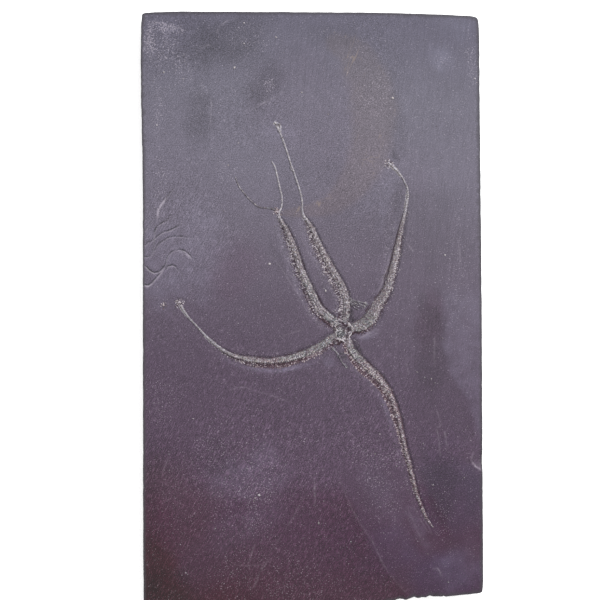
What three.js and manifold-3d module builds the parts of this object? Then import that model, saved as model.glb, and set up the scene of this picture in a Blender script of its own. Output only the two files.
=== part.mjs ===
// Brittle star fossil: a slate slab with a five-armed brittle star in low relief on its face.
// Millimetres, +Z up. The slab lies on its back with the fossil facing up, and the origin is
// the middle of its underside.

import * as THREE from 'three';
import { mergeVertices } from 'three/addons/utils/BufferGeometryUtils.js';
import Module from 'manifold-3d';

const wasm = await Module();
wasm.setup();

// ---------------------------------------------------------------- driving dimensions

const SLAB_THICKNESS = 8;
const EDGE_BEVEL = 0.45;
const FACE = SLAB_THICKNESS; // height of the slab's face

// The slab's outline, anticlockwise from its top-left corner. Its lower edge is cut askew.
const SLAB_OUTLINE = [
  [-59.4, 107.9], [-60.2, 106.6], [-60.5, 98.2], [-60.6, 84.0], [-60.1, 62.8],
  [-59.8, 48.6], [-59.8, -36.3], [-59.6, -107.7], [-58.8, -108.5],
  [28.4, -100.1], [30.1, -99.4], [33.2, -99.7], [35.4, -98.7], [38.5, -98.9], [41.6, -98.2],
  [45.6, -98.6], [52.6, -98.0], [56.2, -97.6], [59.6, -97.1], [60.5, -96.1], [60.6, -85.9],
  [60.4, -50.5], [60.1, 6.2], [59.8, 34.5], [59.3, 84.0], [58.9, 104.4], [58.0, 106.0],
  [56.2, 106.7], [47.3, 107.2], [33.2, 107.6], [11.9, 108.1], [-9.3, 108.4], [-30.6, 108.5],
  [-51.8, 108.4],
];

// The body disc, which draws in between the arms, and the mouth in its middle
const DISC_CENTRE = [11.2, -4.8];
const DISC_RADIUS = 4.2;
const DISC_WAIST = 0.6; // how far the outline draws in between two arms
const DISC_SIDES = 35;
const DISC_SINK = 0.9; // depth of the pit that the disc lies in
const PIT_FLOOR_RADIUS = 5.0;
const PIT_FACE_RADIUS = 6.2;
const PIT_SIDES = 24;
// Rings of the disc's upper side: share of the radius, height over the face, height of the jaws,
// which point into the mouth between the arms
const DISC_RINGS = [
  [0.18, -0.3, 0.0], [0.36, 0.1, 0.5], [0.56, 0.55, 0.25], [0.8, 0.55, -0.2], [1.0, 0.1, -0.1],
];
const MOUTH_HEIGHT = -0.45; // over the face

// How deep an arm lies in its trench and how far it stands over the face, by its width
const SINK_BASE = 0.2;
const SINK_PER_WIDTH = 0.17;
const RISE_BASE = 0.12;
const RISE_PER_WIDTH = 0.15;
const SEAT_GAP = 0.08; // between a trench's floor and the arm on it
const TRENCH_MARGIN = 0.45; // floor left free on each side of an arm
const TRENCH_SLOPE = 1.4; // run of a trench's side for each unit of its depth
const TRENCH_STEP = 4;
const OVERCUT = 0.12; // how far a cutting shape stands over the face

// An arm's joints: a plate and a narrower neck in each, down to the thin whip of its end
const JOINT_PER_WIDTH = 0.4;
const JOINT_SHORTEST = 1.35;
const PLATE_SHARE = 0.6;
const NECK_SWELL = 0.82;
const WHIP_WIDTH = 1.3;
const WHIP_STEP = 3.4;

// Half an arm's section from its foot to its crest: share of the half width, share of the height
const ARM_SECTION = [[0.85, 0], [1, 0.38], [0.78, 0.78], [0.32, 1]];

// Each arm's route from the disc outwards, as [x, y, width]. A second route is a loose strand.
// Lumps are the broken bits curled up at an arm's end, as [x, y, radius].
const ARMS = {
  arm_upper_left: {
    routes: [
      [
        [7.8, -1.8, 3.7], [5.6, 0.1, 4.1], [2.7, 2.8, 4.1], [0.8, 6.2, 4.1], [-1.0, 9.7, 3.9],
        [-2.8, 13.2, 3.7], [-4.4, 17.1, 3.5], [-5.6, 20.9, 3.4], [-6.8, 24.7, 3.2],
        [-8.1, 28.3, 2.7], [-9.1, 31.1, 2.3], [-10.4, 33.4, 1.8], [-11.4, 35.4, 1.3],
        [-11.3, 37.3, 0.9], [-10.5, 39.4, 0.65], [-10.4, 42.6, 0.55], [-11.3, 46.5, 0.5],
        [-12.1, 50.1, 0.5], [-13.0, 53.6, 0.45], [-14.2, 55.4, 0.4],
      ],
      [
        [-11.4, 37.4, 0.7], [-14.1, 38.6, 0.5], [-16.4, 38.8, 0.45], [-18.6, 39.2, 0.45],
        [-20.4, 40.5, 0.45], [-21.9, 41.9, 0.45], [-24.0, 44.4, 0.45], [-25.2, 45.8, 0.4],
        [-26.1, 47.6, 0.4], [-26.9, 49.9, 0.35],
      ],
    ],
    lumps: [[-12.7, 37.3, 0.9], [-11.9, 38.2, 0.7], [-10.6, 36.9, 0.7]],
  },
  arm_upper_middle: {
    routes: [
      [
        [11.6, -0.3, 3.4], [11.8, 1.9, 3.7], [12.0, 4.4, 3.7], [11.9, 6.3, 3.9],
        [10.9, 9.2, 4.1], [9.5, 12.0, 4.1], [7.3, 15.7, 3.9], [5.2, 19.6, 3.7],
        [3.2, 23.5, 3.5], [1.4, 27.4, 3.1], [0.1, 30.6, 2.7], [-1.3, 33.6, 1.8],
        [-2.8, 36.1, 1.1], [-3.2, 38.4, 0.7], [-3.2, 40.5, 0.6], [-3.6, 43.3, 0.55],
        [-4.8, 47.4, 0.55], [-6.1, 51.3, 0.55], [-7.6, 55.5, 0.55], [-8.9, 59.6, 0.55],
        [-10.4, 63.9, 0.5], [-11.6, 66.3, 0.5], [-12.3, 68.1, 0.45],
      ],
    ],
    lumps: [[-11.9, 68.4, 0.5]],
  },
  arm_right: {
    routes: [
      [
        [15.5, -3.2, 3.7], [17.2, -2.7, 4.2], [19.5, -1.1, 4.4], [21.8, 1.4, 4.3],
        [23.9, 4.6, 4.1], [25.7, 7.6, 3.8], [27.2, 11.1, 3.5], [28.3, 14.8, 3.1],
        [29.1, 18.2, 2.9], [30.0, 22.1, 2.8], [30.8, 26.3, 2.5], [31.6, 30.2, 2.1],
        [32.4, 33.8, 1.8], [33.1, 37.0, 1.4], [33.7, 40.1, 1.1], [34.2, 43.3, 0.8],
        [34.0, 45.8, 0.65], [33.1, 47.9, 0.6], [31.8, 50.2, 0.6], [30.2, 52.2, 0.65],
        [28.4, 53.9, 0.8], [27.0, 55.1, 0.6],
      ],
    ],
    lumps: [[28.2, 54.5, 0.8], [26.8, 55.2, 0.7], [26.4, 54.1, 0.6]],
  },
  arm_left: {
    routes: [
      [
        [7.5, -7.4, 3.6], [5.6, -9.1, 3.9], [3.1, -10.7, 4.1], [-0.6, -12.6, 3.9],
        [-5.1, -14.2, 3.5], [-10.0, -15.4, 3.3], [-15.3, -15.8, 3.0], [-20.1, -15.4, 2.7],
        [-25.2, -14.4, 2.1], [-29.8, -12.6, 1.6], [-33.7, -9.8, 1.2], [-37.5, -6.4, 0.85],
        [-40.6, -3.0, 0.7], [-43.6, 0.3, 0.65], [-46.4, 4.4, 0.6],
      ],
    ],
    lumps: [[-46.6, 5.0, 0.9], [-47.3, 4.2, 0.8], [-47.3, 5.7, 0.7]],
  },
  arm_lower: {
    routes: [
      [
        [13.1, -8.9, 3.4], [13.9, -11.4, 3.7], [15.6, -13.7, 3.9], [18.3, -16.5, 3.9],
        [21.3, -19.3, 3.7], [24.1, -22.2, 3.5], [26.5, -25.3, 3.4], [28.3, -28.9, 3.1],
        [29.7, -32.6, 2.8], [30.7, -36.3, 2.6], [31.5, -40.0, 2.5], [32.2, -43.8, 2.3],
        [33.1, -47.6, 2.2], [34.2, -51.2, 2.1], [35.3, -55.1, 2.0], [36.3, -58.6, 1.9],
        [37.3, -62.2, 1.8], [38.6, -65.7, 1.6], [40.0, -69.2, 1.35], [41.6, -72.1, 0.9],
        [43.3, -74.4, 0.5],
      ],
    ],
    lumps: [],
  },
};
const LUMP_FLATNESS = 0.55;
const LUMP_CLEARANCE = 0.15;

// Shallow wrinkles in the slab's face beside its left edge
const WRINKLES = [
  [[-50.7, 43.0], [-53.6, 39.3], [-54.6, 37.0]],
  [[-47.2, 32.2], [-49.3, 31.3], [-53.7, 29.9], [-58.6, 26.4]],
  [[-42.2, 28.5], [-48.8, 28.2], [-51.3, 27.8], [-54.3, 25.6], [-56.0, 21.7]],
  [[-42.6, 21.5], [-45.4, 23.5], [-47.2, 23.9], [-50.4, 22.2], [-51.8, 18.6]],
  [[-58.6, 18.5], [-56.0, 16.4], [-54.3, 15.5], [-51.8, 18.2], [-50.4, 19.0], [-47.9, 18.0]],
];
const WRINKLE_WIDTH = 0.8;
const WRINKLE_DEPTH = 0.3;

// Shell-shaped chips knocked out of the slab's edges: [x, y, z] of the middle, then the radii
const CHIPS = [
  { at: [61.0, -50.4, 8.4], radii: [3.5, 3.8, 2.4] },
  { at: [31.8, -100.0, 8.3], radii: [2.0, 1.3, 1.3] },
  { at: [37.2, -99.4, 8.3], radii: [1.6, 1.2, 1.1] },
  { at: [42.9, -99.0, 8.3], radii: [2.2, 1.3, 1.2] },
];

// ---------------------------------------------------------------- shape helpers

/** A closed solid through a row of flat sections, each with the same number of corners. */
function loft(sections) {
  const corners = sections[0].length;
  const index = [];
  for (let i = 0; i + 1 < sections.length; i += 1) {
    for (let j = 0; j < corners; j += 1) {
      const a = i * corners + j;
      const b = i * corners + ((j + 1) % corners);
      index.push(a, b, a + corners, b, b + corners, a + corners);
    }
  }
  const last = (sections.length - 1) * corners;
  for (let j = 1; j + 1 < corners; j += 1) {
    index.push(0, j + 1, j, last, last + j, last + j + 1);
  }
  const geometry = new THREE.BufferGeometry();
  geometry.setFromPoints(sections.flat());
  geometry.setIndex(index);
  return geometry;
}

/** A smooth curve through [x, y, width] rows, with the width kept in each point's z. */
function widthCurve(route) {
  const points = route.map(([x, y, width]) => new THREE.Vector3(x, y, width));
  return new THREE.CatmullRomCurve3(points, false, 'centripetal');
}

/** One section across the curve: profile(width) gives its [across, height] corners. */
function sectionAt(curve, u, profile) {
  const point = curve.getPointAt(u);
  const along = curve.getTangentAt(u).setZ(0).normalize();
  const left = new THREE.Vector3(-along.y, along.x, 0);
  return profile(point.z).map(([across, height]) => (
    new THREE.Vector3(point.x, point.y, height).addScaledVector(left, across)
  ));
}

/** A loft along the curve with sections at even steps of about the given length. */
function sweep(curve, step, profile) {
  const count = Math.max(2, Math.round(curve.getLength() / step));
  const sections = [];
  for (let i = 0; i <= count; i += 1) sections.push(sectionAt(curve, i / count, profile));
  return loft(sections);
}

/** A low-sided ball stretched to the given radii. */
function ellipsoid(at, radii, detail) {
  return new THREE.IcosahedronGeometry(1, detail).scale(...radii).translate(...at);
}

function toSolid(geometry) {
  const bare = geometry.clone();
  bare.deleteAttribute('normal');
  bare.deleteAttribute('uv');
  const merged = mergeVertices(bare);
  return new wasm.Manifold(new wasm.Mesh({
    numProp: 3,
    vertProperties: new Float32Array(merged.attributes.position.array),
    triVerts: new Uint32Array(merged.index.array),
  }));
}

function toGeometry(solid) {
  const { vertProperties, triVerts } = solid.getMesh();
  const geometry = new THREE.BufferGeometry();
  geometry.setAttribute('position', new THREE.BufferAttribute(vertProperties, 3));
  geometry.setIndex(new THREE.BufferAttribute(triVerts, 1));
  geometry.computeVertexNormals();
  return geometry;
}

// ---------------------------------------------------------------- arms

const sinkFor = (width) => SINK_BASE + SINK_PER_WIDTH * width;
const riseFor = (width) => RISE_BASE + RISE_PER_WIDTH * width;

/** Corners of an arm's section, anticlockwise; swell is 1 at a plate and less at a neck. */
function armProfile(width, swell) {
  const half = (swell * width) / 2;
  const foot = FACE - sinkFor(width) + SEAT_GAP;
  const height = FACE + swell * riseFor(width) - foot;
  const right = ARM_SECTION.map(([across, up]) => [across * half, foot + up * height]);
  const left = right.map(([across, up]) => [-across, up]).reverse();
  return [...right, ...left];
}

/** The arm itself: a plate and a neck at each joint, and a plain whip where it is thin. */
function armBody(route) {
  const curve = widthCurve(route);
  const length = curve.getLength();
  const sections = [];
  let reached = 0;
  let swell = 1;
  while (reached < length) {
    const { z: width } = curve.getPointAt(reached / length);
    const whip = width < WHIP_WIDTH;
    const profile = (w) => armProfile(w, whip ? 1 : swell);
    sections.push(sectionAt(curve, reached / length, profile));
    const joint = Math.max(JOINT_SHORTEST, JOINT_PER_WIDTH * width);
    const share = swell === 1 ? PLATE_SHARE : 1 - PLATE_SHARE;
    reached += whip ? WHIP_STEP : joint * share;
    swell = swell === 1 ? NECK_SWELL : 1;
  }
  sections.push(sectionAt(curve, 1, (w) => armProfile(w, 1)));
  return loft(sections);
}

function armSolid({ routes, lumps }) {
  let solid = toSolid(armBody(routes[0]));
  for (const route of routes.slice(1)) solid = solid.add(toSolid(armBody(route)));
  for (const [x, y, radius] of lumps) {
    const radii = [radius, radius, radius * LUMP_FLATNESS];
    solid = solid.add(toSolid(ellipsoid([x, y, FACE], radii, 0)));
  }
  return solid;
}

// ---------------------------------------------------------------- disc

const armAngles = Object.values(ARMS)
  .map(({ routes: [[[x, y]]] }) => Math.atan2(y - DISC_CENTRE[1], x - DISC_CENTRE[0]))
  .map((angle) => THREE.MathUtils.euclideanModulo(angle, 2 * Math.PI))
  .sort((a, b) => a - b);

/** 0 in line with an arm and 1 midway between two arms. */
function betweenArms(angle) {
  const before = armAngles.filter((arm) => arm <= angle).at(-1) ?? armAngles.at(-1) - 2 * Math.PI;
  const after = armAngles.find((arm) => arm > angle) ?? armAngles[0] + 2 * Math.PI;
  return 0.5 - 0.5 * Math.cos((2 * Math.PI * (angle - before)) / (after - before));
}

/** The disc: a low dome with jaws pointing into a sunk mouth, on a flat foot. */
function discGeometry() {
  const foot = FACE - DISC_SINK + SEAT_GAP;
  const ring = (share, heightAt) => Array.from({ length: DISC_SIDES }, (_, i) => {
    const angle = (i / DISC_SIDES) * 2 * Math.PI;
    const between = betweenArms(angle);
    const radius = share * (DISC_RADIUS - DISC_WAIST * between);
    return new THREE.Vector3(
      DISC_CENTRE[0] + radius * Math.cos(angle),
      DISC_CENTRE[1] + radius * Math.sin(angle),
      heightAt(between),
    );
  });
  const rings = [
    ring(1, () => foot),
    ...[...DISC_RINGS].reverse().map(([share, height, jaw]) => (
      ring(share, (between) => FACE + height + jaw * between)
    )),
  ];
  const points = [
    new THREE.Vector3(...DISC_CENTRE, foot),
    ...rings.flat(),
    new THREE.Vector3(...DISC_CENTRE, FACE + MOUTH_HEIGHT),
  ];
  const at = (row, i) => 1 + row * DISC_SIDES + (i % DISC_SIDES);
  const index = [];
  for (let i = 0; i < DISC_SIDES; i += 1) {
    index.push(0, at(0, i + 1), at(0, i));
    for (let row = 0; row + 1 < rings.length; row += 1) {
      index.push(at(row, i), at(row, i + 1), at(row + 1, i));
      index.push(at(row, i + 1), at(row + 1, i + 1), at(row + 1, i));
    }
    index.push(at(rings.length - 1, i), at(rings.length - 1, i + 1), points.length - 1);
  }
  const geometry = new THREE.BufferGeometry().setFromPoints(points);
  geometry.setIndex(index);
  geometry.computeVertexNormals();
  return geometry;
}

// ---------------------------------------------------------------- slab

function slabBlank() {
  const outline = new THREE.Shape(SLAB_OUTLINE.map(([x, y]) => new THREE.Vector2(x, y)));
  const blank = new THREE.ExtrudeGeometry(outline, {
    depth: SLAB_THICKNESS - 2 * EDGE_BEVEL,
    bevelThickness: EDGE_BEVEL,
    bevelSize: EDGE_BEVEL,
    bevelOffset: -EDGE_BEVEL,
    bevelSegments: 1,
  });
  return blank.translate(0, 0, EDGE_BEVEL);
}

/** Corners of a trench's section: a flat floor and two sloping sides. */
function trenchProfile(width) {
  const floor = FACE - sinkFor(width);
  const half = width / 2 + TRENCH_MARGIN;
  const lip = half + TRENCH_SLOPE * (sinkFor(width) + OVERCUT);
  return [[half, floor], [lip, FACE + OVERCUT], [-lip, FACE + OVERCUT], [-half, floor]];
}

function wrinkleProfile() {
  const half = WRINKLE_WIDTH / 2;
  return [[0, FACE - WRINKLE_DEPTH], [half, FACE + OVERCUT], [-half, FACE + OVERCUT]];
}

/** The pit that the disc lies in, as a cutting shape. */
function discPit() {
  const height = DISC_SINK + OVERCUT;
  const flare = (PIT_FACE_RADIUS - PIT_FLOOR_RADIUS) / DISC_SINK;
  const lip = PIT_FACE_RADIUS + flare * OVERCUT;
  const pit = new THREE.CylinderGeometry(lip, PIT_FLOOR_RADIUS, height, PIT_SIDES);
  return pit.rotateX(Math.PI / 2).translate(...DISC_CENTRE, FACE - DISC_SINK + height / 2);
}

/** Everything that is cut out of the slab. */
function slabCuts() {
  const cuts = [discPit()];
  for (const { routes, lumps } of Object.values(ARMS)) {
    for (const route of routes) cuts.push(sweep(widthCurve(route), TRENCH_STEP, trenchProfile));
    for (const [x, y, radius] of lumps) {
      const wide = radius + LUMP_CLEARANCE;
      const deep = radius * LUMP_FLATNESS + LUMP_CLEARANCE;
      cuts.push(ellipsoid([x, y, FACE], [wide, wide, deep], 0));
    }
  }
  for (const wrinkle of WRINKLES) {
    const curve = widthCurve(wrinkle.map(([x, y]) => [x, y, 0]));
    cuts.push(sweep(curve, TRENCH_STEP / 2, wrinkleProfile));
  }
  for (const { at, radii } of CHIPS) cuts.push(ellipsoid(at, radii, 1));
  return cuts;
}

function slabSolid() {
  return slabCuts().reduce((solid, cut) => solid.subtract(toSolid(cut)), toSolid(slabBlank()));
}

// ---------------------------------------------------------------- assembly

const slate = new THREE.MeshStandardMaterial({ color: 0x665b68, roughness: 0.8, metalness: 0 });
const fossil = new THREE.MeshStandardMaterial({ color: 0x8d857c, roughness: 0.75, metalness: 0 });

function namedMesh(name, geometry, material) {
  const mesh = new THREE.Mesh(geometry, material);
  mesh.name = name;
  return mesh;
}

const group = new THREE.Group();
group.add(namedMesh('slab', toGeometry(slabSolid()), slate));
group.add(namedMesh('disc', discGeometry(), fossil));
for (const [name, arm] of Object.entries(ARMS)) {
  group.add(namedMesh(name, toGeometry(armSolid(arm)), fossil));
}

export default group;
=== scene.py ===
import math

import bpy
import numpy as np
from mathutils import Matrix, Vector
from mathutils.geometry import delaunay_2d_cdt
from mathutils.kdtree import KDTree


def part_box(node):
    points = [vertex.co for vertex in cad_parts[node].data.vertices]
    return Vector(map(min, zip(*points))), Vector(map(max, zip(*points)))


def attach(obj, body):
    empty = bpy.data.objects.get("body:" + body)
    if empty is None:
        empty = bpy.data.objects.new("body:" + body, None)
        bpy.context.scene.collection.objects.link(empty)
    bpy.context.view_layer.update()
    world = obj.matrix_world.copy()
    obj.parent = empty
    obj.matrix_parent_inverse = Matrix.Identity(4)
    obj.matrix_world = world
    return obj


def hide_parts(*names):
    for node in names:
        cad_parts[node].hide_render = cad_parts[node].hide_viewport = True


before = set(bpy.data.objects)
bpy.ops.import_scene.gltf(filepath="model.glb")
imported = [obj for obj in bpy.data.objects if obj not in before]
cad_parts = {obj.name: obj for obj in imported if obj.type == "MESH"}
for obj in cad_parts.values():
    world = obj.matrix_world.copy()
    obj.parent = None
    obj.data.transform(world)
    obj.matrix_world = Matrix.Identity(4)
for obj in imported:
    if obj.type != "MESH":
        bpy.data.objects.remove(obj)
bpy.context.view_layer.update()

# A slate slab lies on its back, with a brittle star in low relief on its face. The slab, each arm,
# the disc and the loose crumbs are one mesh each, made of closed shapes. A mesh carries marks:
# numbers at its points, which its material turns into colours.
# Shapes are worked out in millimetres and turned to metres when a mesh is made.
MM = 0.001

# ---------------------------------------------------------------- driving dimensions

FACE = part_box("slab")[1].z / MM  # height of the slab's face
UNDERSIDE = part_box("slab")[0].z / MM
EDGE_BEVEL = 0.45

SLAB_OUTLINE = [
    (-59.7, 108.1), (-60.3, 106.8), (-60.5, 98.2), (-60.6, 84), (-60.1, 62.8), (-59.8, 48.6),
    (-59.8, -36.3), (-59.6, -107.7), (-58.8, -108.5), (28.4, -101.1), (30.1, -100.4),
    (33.2, -100.5), (35.4, -99.7), (38.5, -99.7), (41.6, -99.2), (45.6, -99.2), (52.6, -98.5),
    (56.2, -98.2), (60.1, -97.8), (61, -96.8), (61.05, -85.9), (60.8, -50.5), (60.55, 6.2),
    (60.25, 34.5), (59.75, 84), (59.6, 104.6), (58.9, 106.3), (57, 106.95), (47.3, 107.45),
    (33.2, 107.9), (23, 108.2), (11.9, 108.2), (-9.3, 108.4), (-30.6, 108.5), (-51.8, 108.5),
]

# Each arm's route from the disc outwards, as (x, y, width) measured off the photo
ARMS = {
    "arm_upper_left": [
        (7.78, -1.83, 3.7), (5.47, -0.05, 4.1), (2.54, 2.68, 4.1), (0.62, 6.11, 4.1),
        (-0.99, 9.71, 3.9), (-2.64, 13.28, 3.7), (-4.23, 17.16, 3.5), (-5.43, 20.95, 3.4),
        (-6.63, 24.76, 3.2), (-8.05, 28.32, 2.7), (-9.1, 31.1, 2.3), (-10.4, 33.4, 1.8),
        (-11.4, 35.4, 1.3), (-11.3, 37.3, 0.9), (-10.5, 39.4, 0.65), (-10.4, 42.6, 0.55),
        (-11.3, 46.5, 0.5), (-12.1, 50.1, 0.5), (-13, 53.6, 0.45), (-14.2, 55.4, 0.4),
    ],
    "arm_upper_middle": [
        (11.57, -0.3, 3.4), (11.66, 1.91, 3.7), (11.84, 4.4, 3.7), (11.74, 6.26, 3.9),
        (10.75, 9.14, 4.1), (9.47, 11.98, 4.1), (7.3, 15.7, 3.9), (5.2, 19.6, 3.7),
        (3.2, 23.5, 3.5), (1.4, 27.4, 3.1), (0.1, 30.6, 2.7), (-1.3, 33.6, 1.8), (-2.8, 36.1, 1.1),
        (-3.2, 38.4, 0.7), (-3.2, 40.5, 0.6), (-3.6, 43.3, 0.55), (-4.8, 47.4, 0.55),
        (-6.1, 51.3, 0.55), (-7.6, 55.5, 0.55), (-8.9, 59.6, 0.55), (-10.4, 63.9, 0.5),
        (-11.6, 66.3, 0.5), (-12.3, 68.1, 0.45),
    ],
    "arm_right": [
        (15.5, -3.5, 4.4), (17.3, -3.1, 5.4), (19.8, -1.5, 5.5), (21.9, 1.3, 5.3), (23.7, 4.7, 4.7),
        (25.7, 7.6, 3.8), (27.2, 11.1, 3.5), (28.3, 14.8, 3.1), (29.1, 18.2, 2.9), (30, 22.1, 2.8),
        (30.8, 26.3, 2.5), (31.6, 30.2, 2.1), (32.4, 33.8, 1.65), (33.1, 37, 1.35),
        (33.7, 40.1, 1.05), (34.2, 43.3, 0.9), (34, 45.8, 0.75), (33.1, 47.9, 0.7),
        (31.8, 50.2, 0.7), (30.2, 52.2, 0.8), (28.4, 53.9, 0.95), (27, 55.1, 0.6),
    ],
    "arm_left": [
        (7.5, -7.4, 3.6), (5.6, -9.1, 3.9), (3.1, -10.7, 4.1), (-0.6, -12.6, 3.9),
        (-5.1, -14.2, 3.5), (-10, -15.4, 3.3), (-15.3, -15.8, 3), (-20.1, -15.4, 2.7),
        (-25.2, -14.4, 2.1), (-29.8, -12.6, 1.6), (-33.7, -9.8, 1.2), (-37.5, -6.4, 0.85),
        (-40.6, -3, 0.7), (-43.6, 0.3, 0.65), (-46.4, 4.4, 0.6),
    ],
    "arm_lower": [
        (13.1, -8.9, 3.4), (13.79, -11.46, 3.7), (15.46, -13.82, 3.9), (18.17, -16.63, 3.9),
        (21.17, -19.43, 3.7), (24, -22.2, 3.4), (26.38, -25.35, 3.1), (28.19, -28.86, 2.8),
        (29.59, -32.57, 2.6), (30.7, -36.27, 2.5), (31.6, -39.98, 2.35), (32.5, -43.78, 2.2),
        (33.32, -47.59, 2.1), (34.4, -51.2, 2.05), (35.3, -55.1, 1.95), (36.2, -58.6, 1.85),
        (37.2, -62.2, 1.75), (38.5, -65.7, 1.65), (39.9, -69.2, 1.4), (41.5, -72.1, 1.05),
        (43.3, -74.4, 0.5),
    ],
}
# Fine spines that lie loose between the arms near the disc, as (x, y, width)
LOOSE_SPINES = [
    [(13.3, 6.7, 0.5), (16.3, 5.7, 0.5), (19.1, 5, 0.45), (19.9, 4.2, 0.3)],
    [(13.6, 5.6, 0.4), (16.4, 3.9, 0.4), (18.4, 3.3, 0.3)],
    [(13.9, 6.2, 0.4), (16, 4.8, 0.4), (17.6, 4.4, 0.35), (18.8, 3.9, 0.3)],
    [(14, 5.2, 0.35), (15.3, 3.6, 0.35), (16.9, 2.6, 0.3)],
    [(14.2, 6, 0.35), (17.2, 4.9, 0.35), (19.2, 3.6, 0.3)],
    [(7.2, -10.8, 0.45), (9.1, -12.4, 0.5), (10.2, -14.6, 0.5), (11.4, -16.5, 0.45),
     (12.8, -18.1, 0.35)],
    [(8, -11.4, 0.35), (9.2, -12.9, 0.35), (9.4, -14.6, 0.25)],
]
# Loose strands, and the arm that each belongs to
STRANDS = {
    "arm_upper_left": [
        [(-11.4, 37.4, 0.7), (-14.1, 38.6, 0.5), (-16.4, 38.8, 0.45), (-18.6, 39.2, 0.45),
         (-20.4, 40.5, 0.45), (-21.9, 41.9, 0.45), (-24, 44.4, 0.45), (-25.2, 45.8, 0.4),
         (-26.1, 47.6, 0.4), (-26.9, 49.9, 0.35)],
    ],
    "arm_upper_middle": [
        [(-11.1, 65.6, 0.9), (-11.7, 67.2, 0.9), (-12.5, 68.7, 0.8), (-13.3, 69.2, 0.6)],
        [(-11.1, 65.6, 0.8), (-10.9, 67.3, 0.8), (-11.3, 68.9, 0.7)],
        [(-6.8, 52, 0.7), (-7.3, 53, 0.6), (-7.2, 53.8, 0.4)],
    ],
}
DISC_CENTRE, DISC_RADIUS = (11.2, -4.8), 4.2

# ---------------------------------------------------------------- noise and curves

def hashed(cells, seed):
    """Numbers spread evenly from 0 to 1, the same each time for the same whole-number cells."""
    mixed = cells @ np.array([374761393, 668265263, 1103515245]) + seed * 1274126177
    mixed &= 0xFFFFFFFF
    mixed = ((mixed ^ (mixed >> 13)) * 1274126177) & 0xFFFFFFFF
    return ((mixed ^ (mixed >> 16)) & 0xFFFFFF) / 0xFFFFFF


def bumps(points, size, seed):
    """Smooth noise from -1 to 1, with features of about the given size, at each row of points."""
    points = np.asarray(points, float)
    if points.shape[1] == 2:
        points = np.column_stack([points, np.zeros(len(points))])
    scaled = points / size
    cell = np.floor(scaled).astype(np.int64)
    part = scaled - cell
    part = part * part * (3 - 2 * part)
    total = np.zeros(len(points))
    for corner in np.ndindex(2, 2, 2):
        weight = np.prod(np.where(np.array(corner) == 1, part, 1 - part), axis=1)
        total += weight * hashed(cell + np.array(corner), seed)
    return 2 * total - 1


def layered(points, size, seed, layers=3):
    """Noise of several sizes added up, each half as large and half as strong as the last."""
    total = np.zeros(len(points))
    for layer in range(layers):
        total += bumps(points, size / 2**layer, seed + layer) / 2**layer
    return total / (2 - 2 ** (1 - layers))


def smooth(value, low=0.0, high=1.0):
    """0 below low, 1 above high, and a smooth ramp between."""
    share = np.clip((value - low) / (high - low), 0, 1)
    return share * share * (3 - 2 * share)


def band(value, middle, half):
    """1 where the value is at the middle, fading away over about the half width on each side."""
    return np.exp(-(((value - middle) / half) ** 2))


def evenly(rows, step):
    """The rows of a polyline resampled at even steps of about the given length."""
    lengths = np.linalg.norm(np.diff(rows[:, :2], axis=0), axis=1)
    reached = np.concatenate([[0], np.cumsum(lengths)])
    marks = np.linspace(0, reached[-1], max(2, round(reached[-1] / step)) + 1)
    return np.column_stack([np.interp(marks, reached, column) for column in rows.T])


def curve_through(rows, step):
    """Rows every step along the centripetal Catmull-Rom curve through the given rows."""
    rows = np.array(rows, float)
    rows = np.vstack([2 * rows[0] - rows[1], rows, 2 * rows[-1] - rows[-2]])
    share = np.linspace(0, 1, 40, endpoint=False)[:, None]
    dense = []
    for a, b, c, d in zip(rows, rows[1:], rows[2:], rows[3:]):
        before = math.sqrt(np.linalg.norm(b - a))
        here = math.sqrt(np.linalg.norm(c - b))
        after = math.sqrt(np.linalg.norm(d - c))
        leave = here * ((b - a) / before - (c - a) / (before + here)) + (c - b)
        arrive = here * ((d - c) / after - (d - b) / (here + after)) + (c - b)
        dense.append(
            (2 * share**3 - 3 * share**2 + 1) * b
            + (share**3 - 2 * share**2 + share) * leave
            + (3 * share**2 - 2 * share**3) * c
            + (share**3 - share**2) * arrive
        )
    return evenly(np.vstack([*dense, rows[-2]]), step)


class Lines:
    """Curves through lists of (x, y, value) rows, and the search for the row nearest to a point."""

    def __init__(self, routes, step):
        """Draw the curves with a row at every step."""
        self.rows = np.vstack([curve_through(route, step) for route in routes])
        self.tree = KDTree(len(self.rows))
        for index, (x, y, _) in enumerate(self.rows.tolist()):
            self.tree.insert((x, y, 0), index)
        self.tree.balance()

    def nearest(self, points):
        """The row nearest to each point, and how far away it is."""
        found = [self.tree.find((x, y, 0)) for x, y in points[:, :2].tolist()]
        return self.rows[[hit[1] for hit in found]], np.array([hit[2] for hit in found])


def distance_from(spot, points):
    """How far each point is from a spot, seen from above."""
    return np.linalg.norm(points[:, :2] - np.array(spot), axis=1)


def blob(points, centre, radii, turn=0.0, ragged=0.0, seed=0):
    """1 in the middle of a soft ellipse, 0 outside it. The turn is in degrees."""
    offset = points[:, :2] - np.array(centre)
    cos, sin = math.cos(math.radians(turn)), math.sin(math.radians(turn))
    along = (offset[:, 0] * cos + offset[:, 1] * sin) / radii[0]
    aside = (offset[:, 1] * cos - offset[:, 0] * sin) / radii[1]
    reach = np.hypot(along, aside)
    if ragged:
        reach = reach + ragged * layered(points, min(radii) * 0.7, seed)
    return 1 - smooth(reach, 0.35, 1.0)


# ---------------------------------------------------------------- the slab's face

ARM_LINES = Lines([*ARMS.values(), *(route for routes in STRANDS.values() for route in routes)], 0.3)
LIGHT_WAY = (0.72, 0.69)  # towards the light, across the face
TRENCH_MARGIN = 0.05  # how far the bottom of a trench runs on beside its arm
STEEP_RUN = 0.8  # run of a trench's side nearest the light
GENTLE_RUN = 3.0  # run of the side away from it, which was scraped wider
TRENCH_WIDTHS = (0.5, 2.6)  # arm widths between which the trench grows to its full size

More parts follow.
